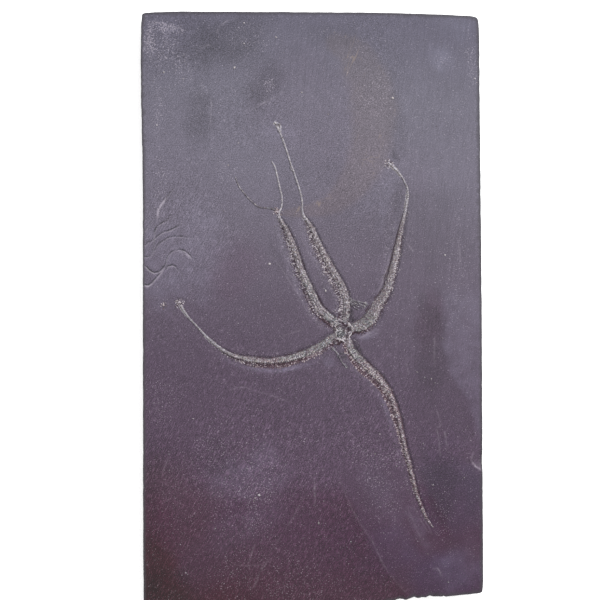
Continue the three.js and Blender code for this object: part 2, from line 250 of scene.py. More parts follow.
# Folds like those in wrinkled skin, by the left edge, as (x, y, strength)
WRINKLES = [
    [(-59.2, 25.2, 0.9), (-57.6, 26.5, 1), (-56.3, 27.2, 1), (-55.2, 28.1, 1), (-54.1, 29, 1.2),
     (-52.5, 30, 1.3), (-51.1, 30.5, 1.4), (-49.7, 31, 1.4), (-48.4, 31.6, 1.2), (-47, 32.5, 0.8),
     (-45.9, 33.5, 0.3)],
    [(-56.6, 21.6, 0.7), (-56.3, 23, 0.8), (-55.6, 25.2, 0.7), (-55.7, 27.9, 0.8), (-55.4, 29.6, 1),
     (-55.2, 30.9, 1.3), (-54.1, 32.5, 1.2), (-52.7, 33.4, 1.2), (-51.1, 34.2, 1),
     (-50.2, 35.6, 0.7), (-49.1, 36.8, 0.3)],
    [(-56, 22, 0.6), (-55.2, 24, 0.8), (-54.1, 25.8, 0.9), (-52.5, 27.1, 0.9), (-51.1, 27.9, 1),
     (-49.7, 28.4, 1), (-48.4, 28.5, 0.9), (-46.2, 28.6, 0.8), (-43.8, 28.4, 0.6), (-41.6, 28, 0.2)],
    [(-59.5, 18.9, 1.3), (-58, 17.4, 1.4), (-56.7, 16.3, 1.5), (-55.2, 15.8, 1.6), (-54, 16.1, 1.5),
     (-52.7, 17.2, 1.3), (-51.6, 18.6, 1.1), (-51.2, 20, 0.9), (-50.8, 21.6, 0.8),
     (-49.7, 22.8, 0.9), (-48.4, 23.7, 1), (-47, 23.9, 1.2), (-45.4, 23.7, 1.4), (-44.2, 23, 1.5),
     (-43.1, 22, 1.4), (-42.2, 20.9, 0.6)],
    [(-51.2, 17.2, 0.8), (-50.6, 18.1, 1.1), (-49.7, 18.4, 1.3), (-48.7, 18.3, 1.2),
     (-47.7, 17.5, 1), (-46.9, 16.2, 0.4)],
    [(-59.4, 11.7, 1.5), (-57.9, 11.4, 1.5), (-56.8, 11.9, 1.4), (-55.7, 13.2, 1.3),
     (-54.6, 14.3, 1.1), (-53.6, 15.5, 0.8)],
    [(-59.3, 21.4, 1.2), (-57.9, 21.5, 1.1), (-56.8, 21.9, 0.7)],
    [(-52.3, 41.4, 0.3), (-51.2, 42.6, 0.9), (-49.8, 44.2, 0.7), (-48.8, 45.8, 0.2)],
    [(-59.5, 33.3, 0.6), (-58.8, 34.7, 0.6), (-57.6, 36.5, 0.2)],
    [(-59.5, 29.6, 0.5), (-58.3, 31.5, 0.6), (-56.9, 33.3, 0.6), (-55.3, 35.7, 0.2)],
    [(-45, 13.2, 0.2), (-46.2, 15.9, 0.5), (-46.8, 17.2, 0.2)],
    [(-50.8, 13.4, 0.1), (-50.2, 15, 0.5), (-49.8, 16, 0.2)],
    [(-36.5, 28.6, 0), (-38.6, 26, 0.4), (-39.8, 23.6, 0)],
    [(-31.2, 29.2, 0), (-33, 26.3, 0.5), (-34, 23.6, 0)],
]
WRINKLE_LINES = Lines(WRINKLES, 0.25)
WRINKLE_DEPTH, WRINKLE_HALF = 0.2, 0.42

# Pale scratches and worn edges, as (x, y, strength)
SCRATCHES = [
    [(-59.2, 11.2, 1.3), (-57.9, 10.9, 1.3), (-56.8, 11.5, 1.4), (-55.7, 12.8, 1.3),
     (-54.5, 13.9, 1.3), (-53.5, 15.2, 1.1), (-52.6, 16.4, 0.9), (-51.7, 17.8, 0.4)],
    [(17.4, -7.3, 0.2), (20, -6.1, 0.45), (22.8, -4.7, 0.2)],
    [(-46.8, 23, 0.3), (-45.2, 22.7, 0.8), (-43.9, 21.9, 0.9), (-42.9, 20.8, 0.5)],
    [(-50.9, 43.1, 0.5), (-51.7, 41.8, 1.8), (-52.3, 40.8, 2.2), (-53.4, 39.5, 3), (-54, 38.4, 2.4),
     (-54.4, 36.6, 1.6), (-54.5, 34.9, 0.8), (-54.6, 33.5, 0.2)],
    [(-35.5, 77.3, 0.8), (-35.3, 73.2, 0.5)],
    [(-22.8, 73, 0.3), (-15.6, 76.6, 0.6), (-10, 79.8, 0.3)],
    [(44.6, -33.1, 0.3), (45.3, -35.7, 0.3), (45.9, -38.1, 0.4), (45, -38.7, 0.4),
     (43.9, -38.3, 0.3)],
    [(-55.8, 105.2, 0.5), (-51.6, 103.4, 0.7), (-46.1, 102.5, 0.5)],
    [(17.3, -7.1, 0.4), (19.4, -6.3, 0.8), (21.8, -5, 0.6), (24.2, -4.3, 0.3)],
    [(18.4, -6, 0.4), (20.6, -5.3, 0.7), (22.9, -3.9, 0.5)],
    [(20.2, -6.7, 0.3), (22.4, -5.9, 0.6), (24.4, -5.4, 0.3)],
    [(-59.4, 94.9, 0.6), (-57.6, 98.5, 0.7), (-56.1, 104.6, 0.4)],
    [(-33.5, 100.9, 0.3), (-32.2, 103.4, 0.5), (-29.8, 104.9, 0.6), (-26.2, 106.1, 0.3)],
    [(-38.9, 95.2, 0.3), (-36.5, 96.4, 0.6), (-34.7, 95.8, 0.3)],
    [(-29, -25.4, 0.2), (-24, -24.7, 0.45), (-20.5, -25.8, 0.3), (-13.5, -27.8, 0.35),
     (-6, -30.6, 0.15)],
    [(-7.4, -39.9, 0.7), (-8, -41.6, 0.5)],
    [(-50, -48, 0.2), (-51.6, -52, 0.4), (-53, -56.3, 0.2)],
    [(-19.8, -80.1, 0.3), (-21.6, -85, 0.6), (-22.2, -87, 0.2)],
    [(-28, -87.7, 0.15), (-22, -87.9, 0.35), (-16.5, -87.4, 0.2)],
    [(8.5, -53.6, 0.15), (11.5, -61, 0.25), (15, -68.7, 0.3), (18.6, -75, 0.25),
     (21.6, -79.2, 0.35), (24.4, -85.2, 0.4), (27.5, -90.4, 0.25), (33, -97, 0.3)],
    [(44.6, -39.8, 0.5), (45, -42.6, 0.5), (45.8, -48.6, 0.3)],
    [(47.3, -40.5, 0.5), (47.8, -43.2, 0.5), (48.2, -46.4, 0.3)],
    [(43.3, -89.2, 0.4), (44.6, -88.7, 0.6), (45.6, -90.4, 0.5), (46, -91.6, 0.3)],
    [(1, -56.9, 0.4), (1.3, -62, 0.9), (1.3, -66.4, 0.3)],
    [(-2, -62.5, 0.1), (-6.8, -71.2, 0.35), (-10.2, -76.8, 0.1), (-12.5, -80, 0.3),
     (-14.6, -83.1, 0.1), (-16.2, -87.4, 0.45), (-18.3, -90.2, 0.15), (-19.2, -93, 0.6),
     (-20.7, -95.6, 0.5), (-22, -95, 0.3)],
    [(34.2, -67.4, 0.2), (37.4, -75.2, 0.35), (39.2, -79, 0.15)],
    [(36, -66.4, 0.2), (39, -72.2, 0.35), (41.6, -76.4, 0.2)],
    [(38.6, -68.6, 0.2), (40.8, -72.8, 0.35), (42.7, -76.6, 0.2)],
    [(57.6, -47.6, 0.3), (56.8, -49.6, 0.6), (57.2, -51.4, 0.9), (58.3, -52.8, 1.3),
     (60.3, -53.9, 1)],
    [(-36, 75.4, 0), (-35.6, 71, 0.4), (-36.2, 66, 0)],
    [(52, 28, 0.2), (52.6, 22, 0.4), (52.4, 17, 0.1)],
    [(-14.5, 22.5, 0.1), (-11.4, 18.5, 0.35), (-7.6, 12.7, 0.35), (-5, 8.7, 0.3), (-2.6, 5, 0.1)],
    [(-10.7, -6.9, 0.15), (-6.5, -5.3, 0.35), (-1.5, -4, 0.15)],
    [(43.6, -7, 0.4), (43.6, -17, 0.4)],
    [(33.5, -14.7, 0.2), (33.8, -17, 0.4), (34.4, -20, 0.2)],
    [(30, -6.9, 0.3), (30.1, -10.1, 0.3)],
    [(23.5, 8.6, 0.3), (24.9, 11.9, 0.8), (25.6, 13.4, 1.6), (26.3, 15.4, 2.2), (26.8, 17, 1.4),
     (27.3, 18.9, 0.6), (28.1, 22.5, 0.2)],
    [(34.1, 26.2, 0.5), (36, 23.6, 0.7)],
]
SCRATCH_LINES = Lines(SCRATCHES, 0.25)
SCRATCH_DEPTH, SCRATCH_HALF = 0.03, 0.35

# Faint steps between layers of the slate, as (x, y) from the top down
LOW_STEP = [
    (8, -53.7), (10.8, -60), (15.1, -67.8), (18.8, -76.5), (22.2, -83.1), (27.2, -90.1), (33, -97),
]
RIGHT_STEP = [
    (46.2, 8), (46.2, 3), (46.8, -10.6), (50, -20.7), (56.3, -30.8), (58.2, -40.9),
]
STEP_HEIGHT = 0.06
FADE_BELOW, FADE_ABOVE = (-6, 2), (-4, 6)  # where a step begins and ends, from its two ends

# Chips out of the slab's edge, as the middle and the radii of the ball that each fits
CHIPS = [
    ((61.0, -50.4, 8.4), (3.5, 3.8, 2.4)),
    ((31.8, -100.0, 8.3), (2.0, 1.3, 1.3)),
    ((37.2, -99.4, 8.3), (1.6, 1.2, 1.1)),
    ((42.9, -99.0, 8.3), (2.2, 1.3, 1.2)),
    ((-42.9, 108.2, 8.2), (2.0, 1.1, 0.5)),
]
BIG_CHIP, BIG_CHIP_REACH = (61.0, -50.4), 4.2
PIT_RADIUS, PIT_DEPTH = 4.3, 0.3  # the hollow that the disc lies in
SHALLOWEST, DEEPER = 0.03, 0.3  # depth of the smallest trench, and what a full-sized one adds
SWELLS = ((0.06, 24, 31), (0.02, 7, 32))  # height, size and seed of the face's gentle swells
FACE_DROP = 0.11  # how far the face lies under the solid's on the whole, so that no swell is above it


def trench_depth(points):
    """How far the prepared trenches go down at each point, and how far it is to an arm's edge."""
    row, distance = ARM_LINES.nearest(points)
    size = smooth(row[:, 2], *TRENCH_WIDTHS)
    ragged = 1 + 0.3 * bumps(points, 1.7, 11)
    facing = ((points[:, :2] - row[:, :2]) @ np.array(LIGHT_WAY)) / np.maximum(distance, 1e-6)
    run = GENTLE_RUN + (STEEP_RUN - GENTLE_RUN) * smooth(facing, -0.5, 0.5)
    run = run * (0.35 + 0.65 * size) * ragged
    edge = distance - row[:, 2] / 2
    depth = (SHALLOWEST + DEEPER * size) * (1 - smooth((edge - TRENCH_MARGIN * ragged) / run))
    from_disc = distance_from(DISC_CENTRE, points)
    pit = PIT_DEPTH * (1 - smooth((from_disc - PIT_RADIUS * (0.9 + 0.1 * ragged)) / 1.2))
    return np.maximum(depth, pit), np.minimum(edge, from_disc - PIT_RADIUS)


def right_of(points, step):
    """How far each point is to the right of a step, and how well the step spans its height."""
    rows = np.array(step)[::-1]
    beside = points[:, 0] - np.interp(points[:, 1], rows[:, 1], rows[:, 0])
    low, high = rows[0, 1], rows[-1, 1]
    spans = smooth(points[:, 1] - low, *FADE_BELOW) * (1 - smooth(points[:, 1] - high, *FADE_ABOVE))
    return beside + 0.6 * bumps(points, 4.0, 15), spans


def ground(points):
    """Height of the slab's face at each point."""
    trench, _ = trench_depth(points)
    wrinkle, to_wrinkle = WRINKLE_LINES.nearest(points)
    scratch, to_scratch = SCRATCH_LINES.nearest(points)
    scraped = 0.07 * trench * layered(points, 0.8, 21)
    fold = WRINKLE_DEPTH * wrinkle[:, 2] * (1 - smooth(to_wrinkle / WRINKLE_HALF))
    fold = fold * (0.75 + 0.25 * bumps(points, 1.3, 5))
    nick = SCRATCH_DEPTH * scratch[:, 2] * (1 - smooth(to_scratch / SCRATCH_HALF))
    swell = sum(height * bumps(points, size, seed) for height, size, seed in SWELLS) - FACE_DROP
    step = 0
    for route in (LOW_STEP, RIGHT_STEP):
        side, spans = right_of(points, route)
        step = step + STEP_HEIGHT * spans * smooth(side, -0.6, 0.6)
    return FACE + swell + step - trench + scraped - fold - nick


def chipped(points):
    """The points with those inside a chip moved down to its floor."""
    points = points.copy()
    for centre, radii in CHIPS:
        across = ((points[:, :2] - np.array(centre[:2])) / np.array(radii[:2])) ** 2
        inside = 1 - across.sum(axis=1)
        floor = centre[2] - radii[2] * np.sqrt(np.maximum(inside, 0)) + 0.05 * bumps(points, 0.9, 41)
        lower = (inside > 0) & (points[:, 2] > floor)
        points[lower, 2] = floor[lower]
    return points


# ---------------------------------------------------------------- meshes

def make_piece(name, points, faces, nodes, marks):
    """A smooth-shaded piece, from points in millimetres and marks for its material."""
    mesh = bpy.data.meshes.new(name)
    mesh.from_pydata((np.asarray(points) * MM).tolist(), [], faces)
    for label, values in marks.items():
        layer = mesh.attributes.new(label, "FLOAT", "POINT")
        layer.data.foreach_set("value", np.asarray(values, np.float32))
    mesh.polygons.foreach_set("use_smooth", np.ones(len(mesh.polygons), bool))
    mesh.update()
    piece = bpy.data.objects.new(name, mesh)
    bpy.context.scene.collection.objects.link(piece)
    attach(piece, "root")
    if nodes:
        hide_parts(*nodes)
    return piece


class Shell:
    """Points, faces and marks of several closed shapes, gathered for one piece."""

    def __init__(self):
        """Start with nothing."""
        self.points, self.faces, self.marks, self.count = [], [], {}, 0

    def add(self, points, faces, marks):
        """Add one closed shape."""
        self.points.append(points)
        self.faces += [tuple(self.count + i for i in face) for face in faces]
        self.count += len(points)
        for label, values in marks.items():
            self.marks.setdefault(label, []).append(values)

    def make(self, name, nodes):
        """The piece that all the shapes make."""
        marks = {label: np.concatenate(parts) for label, parts in self.marks.items()}
        return make_piece(name, np.vstack(self.points), self.faces, nodes, marks)


# ---------------------------------------------------------------- slab

OUTLINE_STEP = 0.7
LOWER_EDGE = -90  # the outline below this is the lower edge
ROUGH_EDGE = (26.0, 47.0)  # stretch of the lower edge, along X, that is broken and not sawn
SAWN_WEAR, BROKEN_WEAR = 0.05, 0.35  # how far the two kinds of edge waver
SIDE_LAYERS = 11  # layers of slate that show on the sides
TOP_RINGS = ((0.16, 0.1), (0.03, 0.3))  # rings at the top of the sides, as (inset, depth)
FOOT_RINGS = ((0.03, 0.45), (0.2, 0.14), (EDGE_BEVEL, 0))  # and at the bottom, as (inset, height)
LEAF_SPAN = 0.8  # what the rings at the top and bottom take up of the thickness
GRID_REACH = np.array([61.0, 109.0])  # half the size of the grids that the slab is meshed from
# Grids of points over the face, as (step, nearest and farthest distance from relief)
FACE_GRIDS = ((0.29, -9.0, 2.3), (0.55, 2.3, 4.2), (1.05, 4.2, 999.0))
FACE_SHRINK = 0.994  # share of the outline's size within which those points are kept
FOLD_STEP = 0.19  # the step of the grid over the folds
FOLD_REACH = 0.9  # how far from a fold that grid goes
# Shallow relief needs close points only nearby, so it counts as this much further away
WRINKLE_EASE, SCRATCH_EASE, CHIP_EASE = 1.6, 1.8, 2.6
UNDER_STEP, UNDER_SHRINK = 2.0, 0.985  # the same for the underside


def rounded(outline, rounds=2):
    """The closed outline with its corners cut, so that they are round."""
    points = np.array(outline, float)
    for _ in range(rounds):
        ahead = np.roll(points, -1, axis=0)
        points = np.stack([0.78 * points + 0.22 * ahead, 0.22 * points + 0.78 * ahead], axis=1)
        points = points.reshape(-1, 2)
    return points


def slab_loop():
    """The slab's uneven outline at even steps, and its outward direction at each point."""
    corners = rounded(SLAB_OUTLINE)
    loop = evenly(np.vstack([corners, corners[:1]]), OUTLINE_STEP)[:-1]
    along = np.roll(loop, -1, axis=0) - np.roll(loop, 1, axis=0)
    along /= np.linalg.norm(along, axis=1)[:, None]
    outward = np.column_stack([along[:, 1], -along[:, 0]])
    x, y = loop.T
    broken = (y < LOWER_EDGE) & (x > ROUGH_EDGE[0]) & (x < ROUGH_EDGE[1])
    uneven = 0.06 * (bumps(loop, 3.0, 51) - 1)
    uneven += np.where(broken, BROKEN_WEAR, SAWN_WEAR) * (bumps(loop, 1.4, 52) - 1)
    return loop + outward * uneven[:, None], outward


def jittered_grid(step, seed):
    """Points over the whole slab, each moved a little from its place in a square grid."""
    columns, rows = np.ceil(2 * GRID_REACH / step).astype(int)
    grid = np.stack(np.meshgrid(np.arange(columns), np.arange(rows)), -1).reshape(-1, 2)
    shake = np.random.default_rng(seed).uniform(-0.3, 0.3, grid.shape)
    return (grid + 0.5 + shake) * step - GRID_REACH


def inside_loop(points, loop):
    """Which of the points lie inside the closed loop."""
    inside = np.zeros(len(points), bool)
    for (x0, y0), (x1, y1) in zip(loop, np.roll(loop, -1, axis=0)):
        crosses = (y0 > points[:, 1]) != (y1 > points[:, 1])
        if crosses.any():
            at = x0 + (points[crosses, 1] - y0) / (y1 - y0) * (x1 - x0)
            inside[crosses] ^= points[crosses, 0] < at
    return inside


def closeness(points):
    """How far each point of the face is from the nearest relief that needs close points."""
    row, to_arm = ARM_LINES.nearest(points)
    return np.minimum.reduce([
        to_arm - row[:, 2] / 2,
        distance_from(DISC_CENTRE, points) - PIT_RADIUS,
        WRINKLE_LINES.nearest(points)[1] + WRINKLE_EASE,
        SCRATCH_LINES.nearest(points)[1] + SCRATCH_EASE,
        distance_from(BIG_CHIP, points) - BIG_CHIP_REACH + CHIP_EASE,
    ])


def face_points(loop):
    """Points inside the loop, close together where the face has relief and far apart elsewhere."""
    kept = []
    for step, near, far in FACE_GRIDS:
        grid = jittered_grid(step, seed=round(step * 100))
        grid = grid[inside_loop(grid, loop * FACE_SHRINK)]
        away = closeness(grid)
        by_fold = WRINKLE_LINES.nearest(grid)[1] < FOLD_REACH
        kept.append(grid[(away >= near) & (away < far) & ~by_fold])
    grid = jittered_grid(FOLD_STEP, seed=19)
    folds = WRINKLE_LINES.rows[:, :2]
    low, high = folds.min(axis=0) - FOLD_REACH, folds.max(axis=0) + FOLD_REACH
    grid = grid[((grid > low) & (grid < high)).all(axis=1)]
    grid = grid[inside_loop(grid, loop * FACE_SHRINK)]
    kept.append(grid[WRINKLE_LINES.nearest(grid)[1] < FOLD_REACH])
    return np.vstack(kept)


def triangulate(loop, inner):
    """The points of the loop and inside it, and triangles over them."""
    points = np.vstack([loop, inner])
    count = len(loop)
    edges = [(i, (i + 1) % count) for i in range(count)]
    _, _, faces, origins, _, _ = delaunay_2d_cdt([Vector(point) for point in points], edges, [], 1, 1e-7)
    back = [origin[0] for origin in origins]
    return points, [tuple(back[i] for i in face) for face in faces]


def side_rings(loop, outward):
    """The rings of points round the slab's split and sawn sides, from the face down."""
    def ring(inset, height):
        """The outline drawn in by an inset, at a height."""
        return np.column_stack([loop - outward * inset, np.full(len(loop), height)])

    rings = [ring(inset, FACE - depth) for inset, depth in TOP_RINGS]
    for layer in range(1, SIDE_LAYERS + 1):
        height = FACE - TOP_RINGS[-1][1] - (FACE - UNDERSIDE - LEAF_SPAN) * layer / (SIDE_LAYERS + 1)
        spots = ring(0, height)
        leaf = np.column_stack([loop / 7, np.full(len(loop), layer * 1.7)])
        inset = 0.05 + 0.08 * (1 + bumps(leaf, 1.0, 61)) + 0.06 * (1 + bumps(spots, 1.2, 62))
        rings.append(ring(inset[:, None], height + 0.1 * bumps(spots, 5.0, 63)))
    return rings + [ring(inset, UNDERSIDE + height) for inset, height in FOOT_RINGS]


# Soft patches on the face. Each kind has a seed for its ragged edges, and a list of patches as
# (x, y, the two radii, turn in degrees, strength).
PATCHES = {
    "dust_and_highlight": (600, [
        (54, -88.5, 10, 10, 0, 0.3), (46.5, -90, 5, 7, 0, 0.2), (46.5, 91, 7.5, 6, 0, 0.5),
        (38.5, -76, 13, 3, -64, 0.35), (26, -66, 22, 8, -64, 0.22), (-54, 20, 12, 24, 0, 0.42),
        (-41, 22, 12, 22, 0, 0.36), (-17, -70, 9, 11, 0, 0.18), (52, 103, 9, 5, 0, 0.3),
        (-22, -56, 19, 12, 20, 0.4), (-12, 66, 10, 6, 0, 0.25), (20, -3, 7, 6, 30, 0.25),
        (6, -15.5, 4, 2.4, -40, 0.35), (20.4, -6.4, 4.4, 2.2, 26, 0.28), (-9, -18, 6, 1.6, 12, 0.3),
        (26, 38, 2.2, 9, -10, 0.3), (24, 44, 16, 4, 45, 0.2), (-26, -76, 18, 9, 10, 0.16),
    ]),
    "shade": (630, [
        (-31.5, 97.5, 22, 9.5, 24, 0.22), (-17.2, 81.6, 14.5, 6.8, 50, 0.19),
        (-57, 90, 5, 20, 0, 0.07), (-48, -50, 17, 13, 0, 0.11), (-58, -70, 6, 20, 0, 0.14),
        # The patches at (-58, -86) and (-50, -101) are darker slate and painted shadow at the lower-left
        # corner.
        (-58, -86, 9, 15, 0, 0.26), (23, -61, 7, 12, 0, 0.08), (-32, -50, 8, 11, 0, 0.14),
        (-50, -97, 11, 12, 0, 0.14), (-58, -54, 8, 24, 0, 0.07), (46, -34, 16, 30, 0, 0.06),
        (-9, 44, 7, 16, 0, 0.07), (-40, 71, 14.5, 6.5, 84, 0.2), (-22, 92, 12, 8, 0, 0.08),
        (-44, 97, 16, 12, 0, 0.1), (5, 52, 14, 9, 0, 0.1), (-50, -101, 20, 14, 0, 0.3),
        (32, 34, 34, 24, 0, 0.13), (42, -10, 8, 24, 0, 0.2), (46.5, -62, 9, 22, 8, 0.32),
        (57, -62, 6, 16, 0, 0.2), (46, 2, 10, 10, 0, 0.1), (30, 66, 4, 26, 0, 0.1),
        # The patches at (16.7, -10.1), (11.4, -13.6) and (29.6, 57.2) are painted shadow: in the gaps on
        # both sides of the lower arm near the disc, and beside the heap at the end of the right arm.
        (8, 100, 20, 6, 0, 0.08), (14.6, 0.7, 1, 3.4, 0, 0.45), (16.7, -10.1, 4.2, 1.1, -61, 0.4),
        (11.4, -13.6, 3.4, 1.2, -57, 0.45), (-12.6, 22, 2.2, 10, 24, 0.12),
        (5, 12, 2.6, 9, 24, 0.16), (-3.6, 20, 1.5, 9, 22, 0.15), (31, 43, 3, 8, -6, 0.12),
        (29.6, 57.2, 3, 1.4, -50, 0.25),
    ]),
    # Redder patches; those near the lower-left corner are partly the slate's own colour and partly a
    # painted warm shadow.
    "red_and_warm_shadow": (660, [
        (-60, -86, 18, 28, 8, 0.8), (-48, -62, 18, 26, 0, 0.16), (24, 34, 38, 36, 0, 0.05),
        (-38, -104, 34, 18, 10, 0.5), (44, -70, 14, 3.6, -62, 0.5), (-28, 18, 14, 15, 20, 0.16),
        (47, -56, 10, 22, 0, 0.2), (43, -1, 8, 16, 0, 0.2), (-22, -52, 16, 10, 0, 0.07),
        (-59, -62, 9, 18, 0, 0.12), (-14, -100, 40, 18, 0, 0.25), (2, 74, 26, 32, 60, 0.08),
    ]),
    "speckle": (690, [
        (-51, 103, 8.5, 3, -10, 0.9), (-57.5, 97, 3, 10, 5, 1), (-51.5, 96, 10, 10, 0, 0.75),
        (-45.4, 88, 4, 7, 0, 0.5), (-54.6, 76, 3, 18, 0, 0.6), (-39.5, 80.5, 4.5, 3, 20, 0.6),
        (-22, 99, 11, 9, 0, 0.4), (-14.6, 82.6, 4.5, 3.2, 50, 0.75), (56.5, 91, 3.5, 10, 0, 0.6),
        (47, 91, 5, 4, 0, 0.5), (-53.5, 46, 3.5, 16, 0, 0.5), (-30, 52, 5, 8, 20, 0.35),
        (-26, -54, 32, 24, 20, 0.32), (-14, -92, 30, 14, 0, 0.28), (52, 16, 7, 26, 0, 0.35),
        (-52, -28, 8, 12, 0, 0.4), (-20, -64, 8, 20, 0, 0.25), (24, -56, 10, 24, 20, 0.4),
        (46, -70, 8, 14, 0, 0.3), (24, 78, 8, 12, 0, 0.4), (27, 28, 3, 16, -10, 0.3),
    ]),
    "cool": (705, [  # where the slate is bluer
        (50, -94, 24, 16, 0, 0.8), (26, -86, 12, 14, -60, 0.25), (50, -60, 14, 26, 0, 0.3),
        (18, -84, 22, 18, 0, 0.15),
    ]),
    "rust_and_warm_shadow": (730, [  # where it is browner, all near the lower-left corner: partly the slate's own colour and partly a painted warm shadow
        (-62, -92, 18, 26, 0, 1), (-44, -104, 28, 14, 0, 0.7), (-50, -66, 20, 22, 0, 0.35),
    ]),
    "scraped_rim_and_highlight": (720, [  # where the pale rim beside the arms is strongest: partly paler scraped ground and partly a painted highlight on the trench wall facing the light
        (-14, -18, 26, 9, 0, 0.9), (24, -34, 9, 10, -60, 0.6), (-8, 10, 8, 12, -60, 0.3),
        (22, -6, 8, 6, 0, 0.5),
    ]),
}
# The middle line and half width of a faint warm film
FILM_ROUTE = [
    (-9, 37, 1.5), (-2, 37.6, 2.5), (6, 39.5, 4), (13.5, 45.5, 6), (19.5, 56.5, 8), (22, 69, 9),
    (21, 82, 9), (15, 93, 7), (8.5, 97.5, 4),
]
FILM_LINE = Lines([FILM_ROUTE], 0.5)
FOLD_WAY = (-0.25, 0.97)  # from the painted highlight of a fold to its painted shade
SHEEN_WAY = 0.22  # how far a fold's painted shade and painted highlight lie from its middle
GAP_PAINTED_SHADE = 0.2  # how much darker the slate is painted in the gap along an arm: painted shade of the trench wall on the side away from the light
SLANTED_PART = ((-44, 27), (24, 26))  # middle and radii of a part with more slanting streaks
UPRIGHT_PART = ((2, 90), (20, 26))  # and of one with more upright streaks
FACE_MARKS = (
    "dust_and_highlight", "shade", "red_and_warm_shadow", "cool", "rust_and_warm_shadow", "speckle", "film", "slant", "upright", "fold_painted_shade", "scratch",
    "side",
)


def patches(points, kind):
    """The sum of one kind of patches at each point."""
    total = np.zeros(len(points))
    seed, table = PATCHES[kind]
    for count, (x, y, long, wide, turn, strength) in enumerate(table):
        total += strength * blob(points, (x, y), (long, wide), turn, 0.45, seed + count)
    return total


def line_strength(points, lines, width, shift=0.0):
    """How strong a line is at each point, with the line moved away from the light by a shift."""
    moved = points[:, :2] + shift * np.array(FOLD_WAY)
    moved = moved + 0.2 * np.column_stack([layered(points, 1.0, 18, 2), layered(points, 1.0, 24, 2)])
    row, distance = lines.nearest(moved)
    broken = np.clip(0.85 + 0.5 * bumps(points, 1.1, 17) + 0.8 * bumps(points, 0.45, 21), 0.1, 1.7)
    return row[:, 2] * broken * band(distance, 0, width)


def face_marks(points):
    """Where the face is darker, dusty, redder, filmed, speckled or streaked, and where its folds get
    painted shade and painted highlights.
    """
    x, y = points[:, 0], points[:, 1]
    low_side, low_spans = right_of(points, LOW_STEP)
    right_side, right_spans = right_of(points, RIGHT_STEP)
    left_below = low_spans * (1 - smooth(low_side, -1.2, 1.2)) * smooth(-y, 57, 67)
    past_right = right_spans * smooth(right_side, -0.8, 0.8)
    film, from_film = FILM_LINE.nearest(points)
    reach = from_film / film[:, 2] + 0.2 * layered(points, 5.0, 19)
    slant = 0.25 + 0.75 * smooth(-y, -20, 60) * (1 - 0.75 * smooth(low_side, -2, 3) * low_spans)
    slant = slant * (1 - 0.5 * smooth(x, 25, 45)) + 0.5 * blob(points, *SLANTED_PART, 0, 0.3, 16)
    upright = 0.2 + 0.8 * smooth(x, 20, 36) * smooth(y, -60, 10)
    upright = np.maximum(upright, blob(points, *UPRIGHT_PART, 0, 0.3, 17))
    return {
        "dust_and_highlight": patches(points, "dust_and_highlight") + 0.4 * past_right,
        "shade": patches(points, "shade") + 0.12 * left_below * smooth(low_side, -30, -2),
        "red_and_warm_shadow": patches(points, "red_and_warm_shadow") + 0.5 * left_below * smooth(low_side, -34, -2),
        "cool": patches(points, "cool"),
        "rust_and_warm_shadow": patches(points, "rust_and_warm_shadow"),
        "speckle": patches(points, "speckle"),
        "film": 1 - smooth(reach, 0.6, 1.1),
        "slant": slant,
        "upright": upright,
        # Each fold gets a dark line of painted shade on one side and a pale line of painted highlight on
        # the other; the highlight goes into the scratch mark
        "fold_painted_shade": line_strength(points, WRINKLE_LINES, 0.28, -SHEEN_WAY),
        "scratch": np.maximum(
            line_strength(points, SCRATCH_LINES, 0.27),
            0.85 * line_strength(points, WRINKLE_LINES, 0.22, SHEEN_WAY),
        ),
    }


def slab_marks(points, face_count, edge_count):
    """What the slate material needs to know. The face's points come first, and its edge's first."""
    _, away = trench_depth(points)
    row, _ = ARM_LINES.nearest(points)
    offset = points[:, :2] - row[:, :2]
    facing = (offset @ np.array(LIGHT_WAY)) / np.maximum(np.hypot(*offset.T), 1e-6)
    lit_side = smooth(facing, 0.3, -0.5)
    width = smooth(row[:, 2], *TRENCH_WIDTHS)
    # The pale rim beside each arm, on the side facing the light, is partly paler scraped ground and
    # partly a painted highlight
    scraped_rim_and_highlight = band(away, 1.5, 0.8) * lit_side * width * (0.15 + patches(points, "scraped_rim_and_highlight"))
    marks = face_marks(points)
    marks["dust_and_highlight"] = marks["dust_and_highlight"] + 0.6 * scraped_rim_and_highlight
    marks["speckle"] = marks["speckle"] + 0.3 * band(np.maximum(away, 0), 0, 2.2) * width
    # Painted shade in the gap beside each arm, on the side away from the light
    marks["shade"] = marks["shade"] + GAP_PAINTED_SHADE * band(away, 0.2, 0.5) * (1 - lit_side) * width
    order = np.arange(len(points))
    marks["fold_painted_shade"] = marks["fold_painted_shade"] * (order < face_count)
    marks["scratch"] = marks["scratch"] * (order < face_count)
    # The edge of the face, the sides and the underside take the darker side colour, partly painted shade
    # along the edge
    marks["side"] = (order < edge_count) | (order >= face_count)
    return marks


